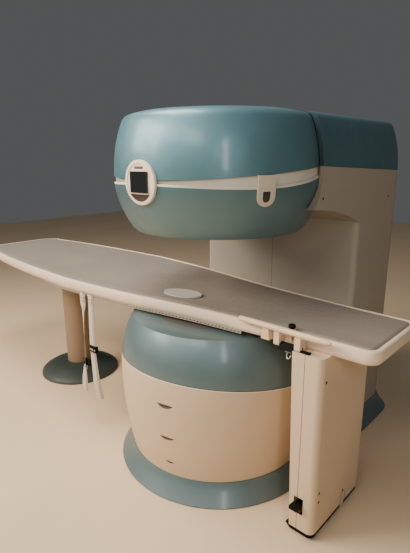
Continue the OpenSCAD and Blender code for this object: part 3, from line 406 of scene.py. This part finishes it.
def grey_vinyl():
    """Matt vinyl pad: pebbled grain, soft creases, paler where it is rubbed."""
    m = Look("grey_vinyl", color=(0.225, 0.190, 0.155), roughness=0.56, specular=0.36, sheen=0.12,
             sheen_roughness=0.5)
    rub = m.clouds(17, 7, 0.0, 0.4, spread=(0.56, 0.74), stretch=(0.5, 1, 1), roughness=0.68, distortion=0.6)
    m.drive("color", m.mix(rub, m.tones(3.0, 5, 0.90, 1.10, roughness=0.6), m.shade(1.28)))
    m.gloss(45, 5, 0.48, 0.66)
    m.bump(m.cells(1050), 0.00022, 0.75)
    m.bump(m.noise(28, 5, stretch=(0.35, 1, 1)), 0.0011, 0.45)
    return m.done()


def webbing():
    """Woven strap: ribs along it, rows across it, fine fuzz, and darker outside a band along it."""
    m = Look("webbing", color=(0.88, 0.72, 0.59), roughness=0.86, specular=0.2, sheen=0.35,
             sheen_roughness=0.45)
    band_middle, band_edge = 0.015, (0.0118, 0.0136)
    off = m.math("ABSOLUTE", m.math("SUBTRACT", m.part("X", m.place(source="UV")), band_middle))
    rows = m.wave(260, "Y", source="UV", distortion=0.6)
    ribs = m.wave(150, "X", source="UV", distortion=0.3)
    weave = m.product(m.math("ADD", rows, 0.35), m.math("ADD", ribs, 0.35))
    tone = m.mix(m.remap(weave, 0.2, 1.4), m.shade(0.74), m.shade(1.12))
    tone = m.mix(m.clouds(22, 6, 0.0, 0.45, spread=(0.4, 0.72)), tone, m.shade(0.72))
    m.drive("color", m.mix(m.remap(off, *band_edge), tone, m.shade(0.5)))
    m.gloss(300, 3, 0.78, 0.95)
    m.bump(weave, 0.00045, 0.9)
    m.bump(m.noise(900, 3), 0.00012, 0.7)
    return m.done()


# Dark thread: its darkness is painted shade for the shadowed folds along the stitch rows.
def thread():
    m = Look("thread", color=(0.24, 0.20, 0.165), roughness=0.8, sheen=0.2)
    m.drive("color", m.mix(m.noise(700, 2), m.shade(0.8), m.shade(1.1)))
    m.bump(m.noise(1600, 2), 0.0002, 0.8)
    return m.done()


LOW_TEAL = (0.118, 0.182, 0.196)
# Darker, greyer copy of the cream for the column's covers: painted shade.
COLUMN_SHADED_CREAM = (0.40, 0.365, 0.305)

MATERIALS = {
    "teal": teal_paint(),
    "low": teal_paint("teal_low", LOW_TEAL),
    "drum": teal_paint("teal_drum", LOW_TEAL, joint=True),
    "bowl": teal_paint("teal_bowl", (0.095, 0.178, 0.204)),
    "hood": teal_paint("hood_paint", (0.072, 0.165, 0.198), coat=0.2, paint_seam_shade=True),
    # The cone is the same teal paint with painted shade: a near black, satin copy.
    "cone": teal_paint("cone_shaded_paint", (0.021, 0.035, 0.031), 0.1, 0.6, 0.02),
    "cream": cream_plastic(),
    "band": cream_plastic("band_plastic", extra=scoop_shade_and_lip_highlight),
    "leg": cream_plastic("leg_plastic", extra=leg_joint),
    "column": cream_plastic("column_plastic", COLUMN_SHADED_CREAM),
    "panel": cream_plastic("panel_plastic", COLUMN_SHADED_CREAM, extra=panel_joint),
    "side": cream_plastic("side_plastic", COLUMN_SHADED_CREAM, extra=side_seam_painted_shade),
    # Near black copy of the cream: painted shade for the lower pole cover under the table.
    "shaded": cream_plastic("shaded_pole_plastic", (0.11, 0.098, 0.084)),
    "tongue": cream_plastic("tongue_plastic", (0.60, 0.54, 0.45), 0.0),
    "post": cream_plastic("post_plastic", (0.28, 0.20, 0.13), 0.4),
    "belt": belt_plastic(),
    "rim": satin_plastic("rim_plastic", (0.84, 0.68, 0.51), 0.40),
    "bar": satin_plastic("bar_coating", (0.76, 0.58, 0.40), 0.34),
    "bezel": satin_plastic("bezel_plastic", (0.95, 0.82, 0.65), 0.30),
    "pale": satin_plastic("pale_plastic", (0.58, 0.55, 0.50), 0.45),
    "rail": satin_plastic("rail_plastic", (0.40, 0.34, 0.28), 0.5),
    "black": black_plastic(),
    "rubber": wheel_rubber(),
    "zinc": zinc_steel(),
    "steel": painted_steel(),
    "magnet": magnet_blocks(),
    "coil": coil_resin(),
    "glass": screen_glass(),
    "lens": screen_glass("lens_glass", (0.030, 0.020, 0.014)),
    "vinyl": grey_vinyl(),
    "webbing": webbing(),
    "thread": thread(),
}

NODE_LOOKS = {
    "steel": ["base_plate", "pedestal", "lower_yoke", "rear_yoke", "upper_yoke", "lower_pole_shoe",
              "upper_pole_shoe"],
    "magnet": ["lower_magnets", "upper_magnets"],
    "coil": ["lower_gradient_coil", "upper_gradient_coil", "lower_transmit_coil", "upper_transmit_coil"],
    "teal": ["head_shell"],
    "low": ["base_plinth"],
    "drum": ["drum_cover"],
    "bowl": ["head_bowl"],
    "hood": ["arm_hood"],
    "cone": ["pivot_cone"],
    "cream": ["neck_cover", "upper_pole_cover"],
    "band": ["drum_band"],
    "leg": ["leg_cover_inner", "leg_cover_outer"],
    "column": ["column_rear_panel", "arm_underside"],
    "panel": ["column_front_panel"],
    "side": ["column_side_right", "column_side_left"],
    "shaded": ["lower_pole_cover"],
    "tongue": ["laser_tongue"],
    "post": ["pivot_column"],
    "belt": ["head_belt"],
    "rim": ["tabletop"],
    "bar": ["handle_bar", "handle_brackets"],
    "bezel": ["display_housing"],
    "pale": ["accessory_plate"],
    "rail": ["strap_rail"],
    "black": ["cover_screws", "leg_screws", "leg_skirt", "release_lever", "lock_knob", "brake_pedal",
              "brake_shoe", "strap_buckles"],
    "rubber": ["wheel_near", "wheel_far"],
    "zinc": ["pivot_shaft", "table_frame", "leg_post", "leg_foot", "wheel_axles"],
    "glass": ["display_screen", "laser_window"],
    "lens": ["display_lens"],
    "vinyl": ["mat"],
    "webbing": ["strap_near", "strap_far"],
}
WELD_DISTANCE = 2e-5
NODE_CREASE, MAT_CREASE = 31, 60    # degrees between faces that stay a crisp edge


def keep_edges(obj, crease):
    split = obj.modifiers.new("edges", "EDGE_SPLIT")
    split.split_angle = math.radians(crease)


def dress(obj, look):
    """Gives a CAD node its material and smooth normals with crisp edges."""
    mesh = obj.data
    mesh.materials.clear()
    mesh.materials.append(MATERIALS[look])
    if "custom_normal" in mesh.attributes:
        mesh.attributes.remove(mesh.attributes["custom_normal"])
    mesh.shade_smooth()
    weld = obj.modifiers.new("weld", "WELD")
    weld.merge_threshold = WELD_DISTANCE
    keep_edges(obj, NODE_CREASE)


for look, names in NODE_LOOKS.items():
    for name in names:
        dress(nodes[name], look)


# Pieces built in mesh code

def add_mesh(name, points, faces, look, body, uv=None):
    mesh = bpy.data.meshes.new(name)
    mesh.from_pydata([tuple(p) for p in points], [], faces)
    mesh.validate()
    if uv is not None:
        layer = mesh.uv_layers.new(name="UVMap")
        for loop in mesh.loops:
            layer.data[loop.index].uv = uv[loop.vertex_index]
    mesh.shade_smooth()
    mesh.materials.append(MATERIALS[look])
    obj = bpy.data.objects.new(name, mesh)
    bpy.context.scene.collection.objects.link(obj)
    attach(obj, body)
    return obj


def grid_faces(rows, columns, closed_columns=False):
    faces = []
    for i in range(rows - 1):
        for j in range(columns if closed_columns else columns - 1):
            k = (j + 1) % columns
            faces.append((i * columns + j, i * columns + k, (i + 1) * columns + k, (i + 1) * columns + j))
    return faces


def smooth_step(x):
    x = min(1.0, max(0.0, x))
    return x * x * (3 - 2 * x)


# Mat: a thin vinyl covered pad with rounded edges that follows the tabletop's outline

MAT_ROWS, MAT_COLUMNS = 260, 44                 # along the table, across it
MAT_ROWS_EVEN, MAT_COLUMNS_EVEN = 0.55, 0.65    # evenly spaced share, the rest crowds to the edges
MAT_ROUND = 0.010                               # radius of its edges
MAT_SINK, MAT_LIFT = 0.0016, 0.0006             # its top and bottom lie inside the CAD mat
MAT_END_SLOPE, MAT_END_START = 1.2, 0.0005      # at its ends the round is a little tighter
WAVES = ((2.3, 3.1, 1.7, 0.0011), (9.0, 5.0, 4.2, 0.0005))    # scale in X, in Y, layer of the noise, height
HUMP_START, HUMP_END = -0.20, 0.10              # stretch of the near edge that stands up a little
HUMP_EASE_IN, HUMP_EASE_OUT = 0.09, 0.10
HUMP_WIDTH, HUMP_HEIGHT = 0.05, 0.007
SAME_X = 2e-5                                   # points this close in X are one row of the outline


def mat_half_width():
    """Half the mat's width at each X where its outline has a point."""
    points = np.array([v.co for v in nodes["mat"].data.vertices], float)
    near = points[points[:, 1] < 0]
    xs = np.unique(np.round(near[:, 0], 5))
    ys = np.array([-near[np.abs(near[:, 0] - x) < SAME_X][:, 1].min() for x in xs])
    return xs, ys


def mat_height(x, y, half, start, end):
    """Height of the pad's top over the CAD mat's: round edges, low waves and the hump."""
    from_end = min(x - start, end - x) * MAT_END_SLOPE + MAT_END_START
    edge = max(0.0, min(half - abs(y), from_end))
    fall = 0.0
    if edge < MAT_ROUND:
        fall = MAT_ROUND - math.sqrt(max(0.0, MAT_ROUND ** 2 - (MAT_ROUND - edge) ** 2))
    wave = sum(noise.noise(Vector((x * along, y * across, layer))) * height
               for along, across, layer, height in WAVES)
    stretch = smooth_step((x - HUMP_START) / HUMP_EASE_IN) * smooth_step((HUMP_END - x) / HUMP_EASE_OUT)
    hump = HUMP_HEIGHT * stretch * smooth_step((HUMP_WIDTH - (half + y)) / HUMP_WIDTH)
    return wave + hump - fall - MAT_SINK


def marks(count, even):
    """Numbers from 0 to 1, evenly spaced by this share and else crowded to both ends."""
    steps = [k / (count - 1) for k in range(count)]
    return [even * t + (1 - even) * (0.5 - 0.5 * math.cos(math.pi * t)) for t in steps]


def mat_rim(rows, columns):
    """The grid's outer points, once round."""
    last = (rows - 1) * columns
    rim = list(range(columns))
    rim += [i * columns + columns - 1 for i in range(1, rows)]
    rim += [last + j for j in range(columns - 2, -1, -1)]
    rim += [i * columns for i in range(rows - 2, 0, -1)]
    return rim


def make_mat():
    xs, ys = mat_half_width()
    low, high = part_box("mat")
    start, end = xs[0], xs[-1]
    top = []
    for along in marks(MAT_ROWS, MAT_ROWS_EVEN):
        x = start + (end - start) * along
        half = float(np.interp(x, xs, ys))
        for across in marks(MAT_COLUMNS, MAT_COLUMNS_EVEN):
            y = half * (2 * across - 1)
            top.append((x, y, high.z + mat_height(x, y, half, start, end)))
    bottom = [(x, y, low.z + MAT_LIFT) for x, y, z in top]
    count = len(top)
    faces = [tuple(reversed(f)) for f in grid_faces(MAT_ROWS, MAT_COLUMNS)]
    faces += [tuple(k + count for k in reversed(f)) for f in faces]
    rim = mat_rim(MAT_ROWS, MAT_COLUMNS)
    faces += [(a, b, b + count, a + count) for a, b in zip(rim, rim[1:] + rim[:1])]
    pad = add_mesh("mat_pad", top + bottom, faces, "vinyl", "table")
    keep_edges(pad, MAT_CREASE)
    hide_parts("mat")


make_mat()


# Straps: woven ribbons with a folded and stitched loop at the rail

RIBBON_ROWS, RIBBON_CELLS = 150, 9              # along a ribbon, across each of its faces
RIBBON_EDGE = 0.55                              # share of its thickness left at its edges
STRAP_THICK, STRAP_CUP = 0.00125, 0.0004
STRAP_SEAT = 0.55 * STRAP_THICK                 # a ply's middle lies this far inside the CAD strap's face
STITCHES, STITCH_RINGS, STITCH_SIDES = 13, 5, 6
STITCH_LENGTH, STITCH_LIFT, STITCH_RADIUS = 0.0026, 0.0006, 0.0008
STITCH_DROPS = (0.025, 0.0285, 0.041, 0.0445)   # the rows' distances under the strap's top
WRAP_STEPS, WRAP_RADIUS, WRAP_THICK = 12, 0.0042, 0.0011
WRAP_FRONT, WRAP_DROP, WRAP_NARROWER = 0.0012, 0.003, 0.011    # before, under the middle of, than the buckle

# How the straps hang, in rows: length along, off in X, off in Y, drop from the top, yaw in degrees.
# In the last row the drop is counted up from the strap's lower end.
HANG = {
    "near": [(0.25, -0.005, -0.001, 0.20, 2), (0.34, -0.008, -0.001, 0.29, 1), (0.42, -0.005, 0, 0.37, 5),
             (0.50, 0.001, 0.001, 0.45, 10), (0.57, 0.008, 0.002, 0.52, 22),
             (0.632, 0.021, 0.004, 0.001, 30)],
    "far": [(0.15, -0.003, 0, 0.10, -20), (0.21, -0.008, 0, 0.16, -28), (0.28, -0.011, 0, 0.23, -31),
            (0.34, -0.014, 0, 0.29, -38), (0.43, -0.017, 0, 0.38, -42), (0.48, -0.025, 0, 0.43, -18),
            (0.55, -0.035, 0, 0.50, 0), (0.62, -0.040, 0, 0.014, 5)],
}


def ribbon_points(keys, count):
    """keys: rows of length along, x, y, z and yaw in degrees; returns evenly spaced smooth rows."""
    keys = np.array(keys, float)
    out = []
    for v in np.linspace(keys[0, 0], keys[-1, 0], count):
        i = int(np.clip(np.searchsorted(keys[:, 0], v) - 1, 0, len(keys) - 2))
        t = (v - keys[i, 0]) / (keys[i + 1, 0] - keys[i, 0])
        p0, p1, p2, p3 = (keys[max(0, min(len(keys) - 1, k))] for k in (i - 1, i, i + 1, i + 2))
        row = 0.5 * (2 * p1 + (p2 - p0) * t + (2 * p0 - 5 * p1 + 4 * p2 - p3) * t * t
                     + (3 * p1 - p0 - 3 * p2 + p3) * t ** 3)
        out.append(row[1:])
    return out


def make_ribbon(name, keys, width, thick, cup=0.0):
    """A ribbon along the keys, its edges bent forward by the cup; returns it and its length."""
    rows = ribbon_points(keys, RIBBON_ROWS)
    steps = [k / RIBBON_CELLS for k in range(RIBBON_CELLS + 1)]
    ring = [(2 * t - 1, 1) for t in steps] + [(1 - 2 * t, -1) for t in steps]
    points, uv, along = [], [], 0.0
    previous = Vector(rows[0][:3])
    for x, y, z, yaw in rows:
        place = Vector((x, y, z))
        along += (place - previous).length
        previous = place
        a = math.radians(yaw)
        side = Vector((math.cos(a), math.sin(a), 0))
        face = Vector((math.sin(a), -math.cos(a), 0))
        for u, f in ring:
            lift = f * thick / 2 * (RIBBON_EDGE if abs(u) > 0.999 else 1.0) + cup * (u * u - 0.33)
            points.append(place + side * (u * width / 2) + face * lift)
            uv.append(((u + 1) * width / 2, along))
    per = len(ring)
    faces = [tuple(reversed(f)) for f in grid_faces(len(rows), per, True)]
    faces.append(tuple(range(per)))
    faces.append(tuple(reversed(range((len(rows) - 1) * per, len(rows) * per))))
    return add_mesh(name, points, faces, "webbing", "table", uv=uv), along


def stitch_points(x, y, z):
    """One stitch: a short bead that is thinner and lower at its ends."""
    points = []
    for ring in range(STITCH_RINGS):
        t = ring / (STITCH_RINGS - 1)
        lift = STITCH_LIFT * math.sin(math.pi * t)
        r = STITCH_RADIUS * (0.35 + 0.65 * math.sin(math.pi * min(0.98, max(0.02, t))))
        for k in range(STITCH_SIDES):
            a = 2 * math.pi * k / STITCH_SIDES
            points.append((x + STITCH_LENGTH * (t - 0.5), y - lift + r * math.cos(a), z + r * math.sin(a)))
    return points


def stitch_rows(name, x, y, heights, width):
    """Rows of short raised stitches across a strap, facing the near side."""
    points, faces = [], []
    start = tuple(reversed(range(STITCH_SIDES)))
    end = tuple(range((STITCH_RINGS - 1) * STITCH_SIDES, STITCH_RINGS * STITCH_SIDES))
    one = grid_faces(STITCH_RINGS, STITCH_SIDES, True) + [start, end]
    for z in heights:
        for i in range(STITCHES):
            faces += [tuple(len(points) + k for k in f) for f in one]
            points += stitch_points(x - width / 2 + width * (i + 0.5) / STITCHES, y, z)
    return add_mesh(name, points, faces, "thread", "table")


def buckle_part(near):
    """Lowest and highest corner of one of the two buckles."""
    points = np.array([v.co for v in nodes["strap_buckles"].data.vertices], float)
    middle = (points[:, 0].min() + points[:, 0].max()) / 2
    part = points[points[:, 0] > middle] if near else points[points[:, 0] < middle]
    return part.min(axis=0), part.max(axis=0)


def make_wrap():
    """The near strap's turn over the middle bar of its buckle."""
    low, high = buckle_part(near=True)
    x, y, z = (low[0] + high[0]) / 2, low[1] - WRAP_FRONT, (low[2] + high[2]) / 2 - WRAP_DROP
    turns = [math.pi * (k / WRAP_STEPS - 0.5) for k in range(WRAP_STEPS + 1)]
    keys = [(a, x, y - WRAP_RADIUS * math.cos(a), z + WRAP_RADIUS * math.sin(a), 0) for a in turns]
    return make_ribbon("buckle_wrap", keys, high[0] - low[0] - WRAP_NARROWER, WRAP_THICK)[0]


def strap_keys(label, x, inner, outer, top, length):
    """The loop over the rail, then the hanging part."""
    keys = [(0, x, inner, top - 0.052, 0), (0.045, x, inner, top - 0.004, 0),
            (0.0505, x, (inner + outer) / 2, top - 0.0012, 0), (0.056, x, outer, top - 0.005, 0),
            (0.11, x, outer, top - 0.06, 0)]
    *rows, (k, dx, dy, left, yaw) = HANG[label]
    rows.append((k, dx, dy, length - left, yaw))
    return keys + [(k, x + dx, outer + dy, top - drop, yaw) for k, dx, dy, drop, yaw in rows]


def make_straps():
    for label in ("near", "far"):
        node = "strap_" + label
        low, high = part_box(node)
        x, width = (low.x + high.x) / 2, high.x - low.x
        inner, outer = high.y - STRAP_SEAT, low.y + STRAP_SEAT
        keys = strap_keys(label, x, inner, outer, high.z, high.z - low.z)
        strap, length = make_ribbon("webbing_" + label, keys, width, STRAP_THICK, STRAP_CUP)
        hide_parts(node)
        heights = [high.z - drop for drop in STITCH_DROPS]
        pieces = [stitch_rows("stitches_" + label, x, outer - STRAP_THICK / 2, heights, width)]
        if label == "near":
            pieces.append(make_wrap())


make_straps()


# Small fittings, each placed from the box of the piece that carries it

BAR_SIDES, BAR_END = 10, 0.7         # a bar's ends have this share of its radius
BLOCK_STEPS = 20
SKEW = Vector((0.31, 0.92, 0.25))    # no bar runs this way, so it gives every bar a side


def round_bars(name, paths, radius, look, body):
    """Round bars along paths, a little thinner at their ends."""
    points, faces = [], []
    for path in paths:
        path = [Vector(p) for p in path]
        first, last = len(points), len(path) - 1
        for i, p in enumerate(path):
            ahead = (path[min(last, i + 1)] - path[max(0, i - 1)]).normalized()
            side = ahead.cross(SKEW).normalized()
            up = side.cross(ahead)
            r = radius if 0 < i < last else radius * BAR_END
            for k in range(BAR_SIDES):
                a = 2 * math.pi * k / BAR_SIDES
                points.append(p + side * (r * math.cos(a)) + up * (r * math.sin(a)))
        rows = grid_faces(last + 1, BAR_SIDES, True)
        rows += [tuple(reversed(range(BAR_SIDES))), tuple(range(last * BAR_SIDES, (last + 1) * BAR_SIDES))]
        faces += [tuple(first + k for k in f) for f in rows]
    return add_mesh(name, points, faces, look, body)


def rounded_block(name, low, high, radius, look, body):
    low, high = Vector(low), Vector(high)
    middle, half = (low + high) / 2, (high - low) / 2
    points = []
    for i in range(BLOCK_STEPS + 1):
        tilt = math.pi * i / BLOCK_STEPS
        for j in range(2 * BLOCK_STEPS):
            turn = math.pi * j / BLOCK_STEPS
            level = math.sin(tilt)
            d = Vector((level * math.cos(turn), level * math.sin(turn), math.cos(tilt)))
            points.append([middle[k] + math.copysign(half[k] - radius, d[k]) + radius * d[k]
                           for k in range(3)])
    faces = [tuple(reversed(f)) for f in grid_faces(BLOCK_STEPS + 1, 2 * BLOCK_STEPS, True)]
    corners = [BLOCK_STEPS // 4 + k * BLOCK_STEPS // 2 for k in range(4)]
    faces.append(tuple(corners))
    faces.append(tuple(2 * BLOCK_STEPS * BLOCK_STEPS + k for k in reversed(corners)))
    return add_mesh(name, points, faces, look, body)


def make_prongs():
    """Two bars across the near buckle and two prongs down from the upper one."""
    low, high = buckle_part(near=True)
    y, x0, x1 = low[1] - 0.0022, low[0] + 0.004, high[0] - 0.004
    upper, lower = high[2] - 0.005, low[2] + 0.005
    bars = [[(x0, y, z), (x0 + 0.004, y - 0.001, z), (x1 - 0.004, y - 0.001, z), (x1, y, z)]
            for z in (lower, upper)]
    for share in (0.3, 0.7):
        x = x0 + (x1 - x0) * share
        bars.append([(x, y - 0.001, upper), (x + 0.001, y - 0.005, upper - 0.009),
                     (x + 0.002, y - 0.006, upper - 0.019), (x + 0.006, y - 0.004, lower - 0.009)])
    round_bars("buckle_prongs", bars, 0.0019, "black", "table")


def make_strap_hook():
    """Wire hook under the far buckle: down, round an open bow and up again."""
    low, high = buckle_part(near=False)
    x, y, z = (low[0] + high[0]) / 2, low[1] - 0.002, low[2]
    half_width, depth = 0.012, 0.014
    hook = [(x - half_width, y, z + 0.004), (x - half_width, y - 0.003, z - 0.006)]
    for degrees in range(-80, 81, 20):
        a = math.radians(degrees)
        hook.append((x + half_width * math.sin(a), y - 0.003, z - 0.006 - depth * math.cos(a)))
    hook += [(x + half_width, y - 0.003, z - 0.004), (x + 0.006, y - 0.002, z + 0.003)]
    round_bars("strap_hook", [hook], 0.0018, "zinc", "table")


def make_display_slot():
    low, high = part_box("display_screen")
    front, middle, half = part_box("display_housing")[0].y, (low.x + high.x) / 2, (high.x - low.x) * 0.235
    rounded_block("display_slot", (middle - half, front + 0.0016, high.z + 0.0095),
                  (middle + half, front + 0.012, high.z + 0.0182), 0.003, "lens", "magnet")


def make_lever_hook():
    """Wire hook under the release lever, and the coil spring beside it."""
    low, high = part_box("release_lever")
    x, y, z = low.x + 0.057, (low.y + high.y) / 2, low.z
    hook = [(x, y, z + 0.004), (x, y - 0.002, z - 0.010), (x + 0.001, y - 0.006, z - 0.021),
            (x + 0.005, y - 0.010, z - 0.029), (x + 0.011, y - 0.012, z - 0.030),
            (x + 0.017, y - 0.010, z - 0.023), (x + 0.019, y - 0.006, z - 0.013)]
    x = low.x + 0.046
    eye_radius, turn_radius, pitch, quarter = 0.004, 0.0045, 0.0011, 1.57
    spring = [(x, y + eye_radius * math.cos(a), z - 0.004 + eye_radius * math.sin(a)) for a in (1.6, 2.3)]
    for k in range(24):
        a = quarter * k
        spring.append((x + pitch * k, y + turn_radius * math.cos(a), z - 0.006 + turn_radius * math.sin(a)))
    round_bars("lever_hook", [hook, spring], 0.0026, "zinc", "release_lever")


def make_foot_arch():
    """Thin arch on the leg's outer face, and the tab between its feet."""
    low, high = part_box("leg_cover_outer")
    face, foot, middle, radius = high.x, low.z + 0.001, (low.y + high.y) / 2 + 0.047, 0.019
    arch = [(middle - radius, foot), (middle - radius, foot + 0.017)]
    for degrees in range(0, 181, 15):
        a = math.radians(degrees)
        arch.append((middle - radius * math.cos(a), foot + 0.035 + radius * math.sin(a)))
    arch += [(middle + radius, foot + 0.017), (middle + radius, foot)]
    round_bars("foot_arch", [[(face, y, z) for y, z in arch]], 0.0011, "shaded", "table")
    rounded_block("foot_tab", (face - 0.006, middle - 0.012, foot - 0.024),
                  (face + 0.0009, middle + 0.012, foot + 0.005), 0.002, "leg", "table")


def make_latch_tab():
    low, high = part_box("leg_cover_inner")
    x, y, top = high.x - 0.0297, low.y + 0.004, high.z
    rounded_block("latch_tab", (x, y, top + 0.0014), (x + 0.042, y + 0.018, top + 0.0070), 0.0024, "black",
                  "table")


make_prongs()
make_strap_hook()
make_display_slot()
make_lever_hook()
make_foot_arch()
make_latch_tab()


# Stage and light

FLOOR_HALF, FLOOR_STEPS, FLOOR_Z = 9.0, 24, -0.0005
WORLD_COLOR, WORLD_STRENGTH = (0.68, 0.69, 0.70, 1), 0.135
WARM = (1.0, 0.93, 0.84)

# name: place, target, watts, width and height, colour
LIGHTS = {
    "key": ((-2.4, -2.8, 2.9), (-0.1, 0, 0.8), 145, (2.4, 1.6), (1.0, 0.89, 0.76)),
    "sweep": ((-0.5, -3.3, 3.3), (-0.05, 0, 0.9), 100, (4.6, 0.8), WARM),
    "ceiling": ((-0.66, -0.68, 3.3), (-0.3, -0.3, 0), 72, (1.6, 1.0), WARM),
    "strip": ((2.54, -2.31, 2.25), (0.2, -0.2, 0.95), 24, (0.26, 1.4), (1.0, 0.94, 0.88)),
}


def make_floor():
    lines = [-FLOOR_HALF + 2 * FLOOR_HALF * i / FLOOR_STEPS for i in range(FLOOR_STEPS + 1)]
    points = [(x, y, FLOOR_Z) for x in lines for y in lines]
    mesh = bpy.data.meshes.new("floor")
    mesh.from_pydata(points, [], [tuple(reversed(f)) for f in grid_faces(len(lines), len(lines))])
    floor = bpy.data.objects.new("floor", mesh)
    bpy.context.scene.collection.objects.link(floor)
    m = Look("floor", color=(0.785, 0.60, 0.40), roughness=0.6, specular=0.25)
    m.drive("color", m.tones(1.2, 4, 0.97, 1.03))
    mesh.materials.append(m.material)


def make_world():
    world = bpy.data.worlds.new("world")
    world.use_nodes = True
    background = world.node_tree.nodes["Background"]
    background.inputs["Color"].default_value = WORLD_COLOR
    background.inputs["Strength"].default_value = WORLD_STRENGTH
    bpy.context.scene.world = world


def add_light(name, place, target, power, size, color):
    data = bpy.data.lights.new(name, "AREA")
    data.shape = "RECTANGLE"
    data.size, data.size_y = size
    data.energy = power
    data.color = color
    light = bpy.data.objects.new(name, data)
    light.location = place
    light.rotation_euler = (Vector(target) - Vector(place)).to_track_quat("-Z", "Y").to_euler()
    bpy.context.scene.collection.objects.link(light)


make_floor()
make_world()
for name, values in LIGHTS.items():
    add_light(name, *values)
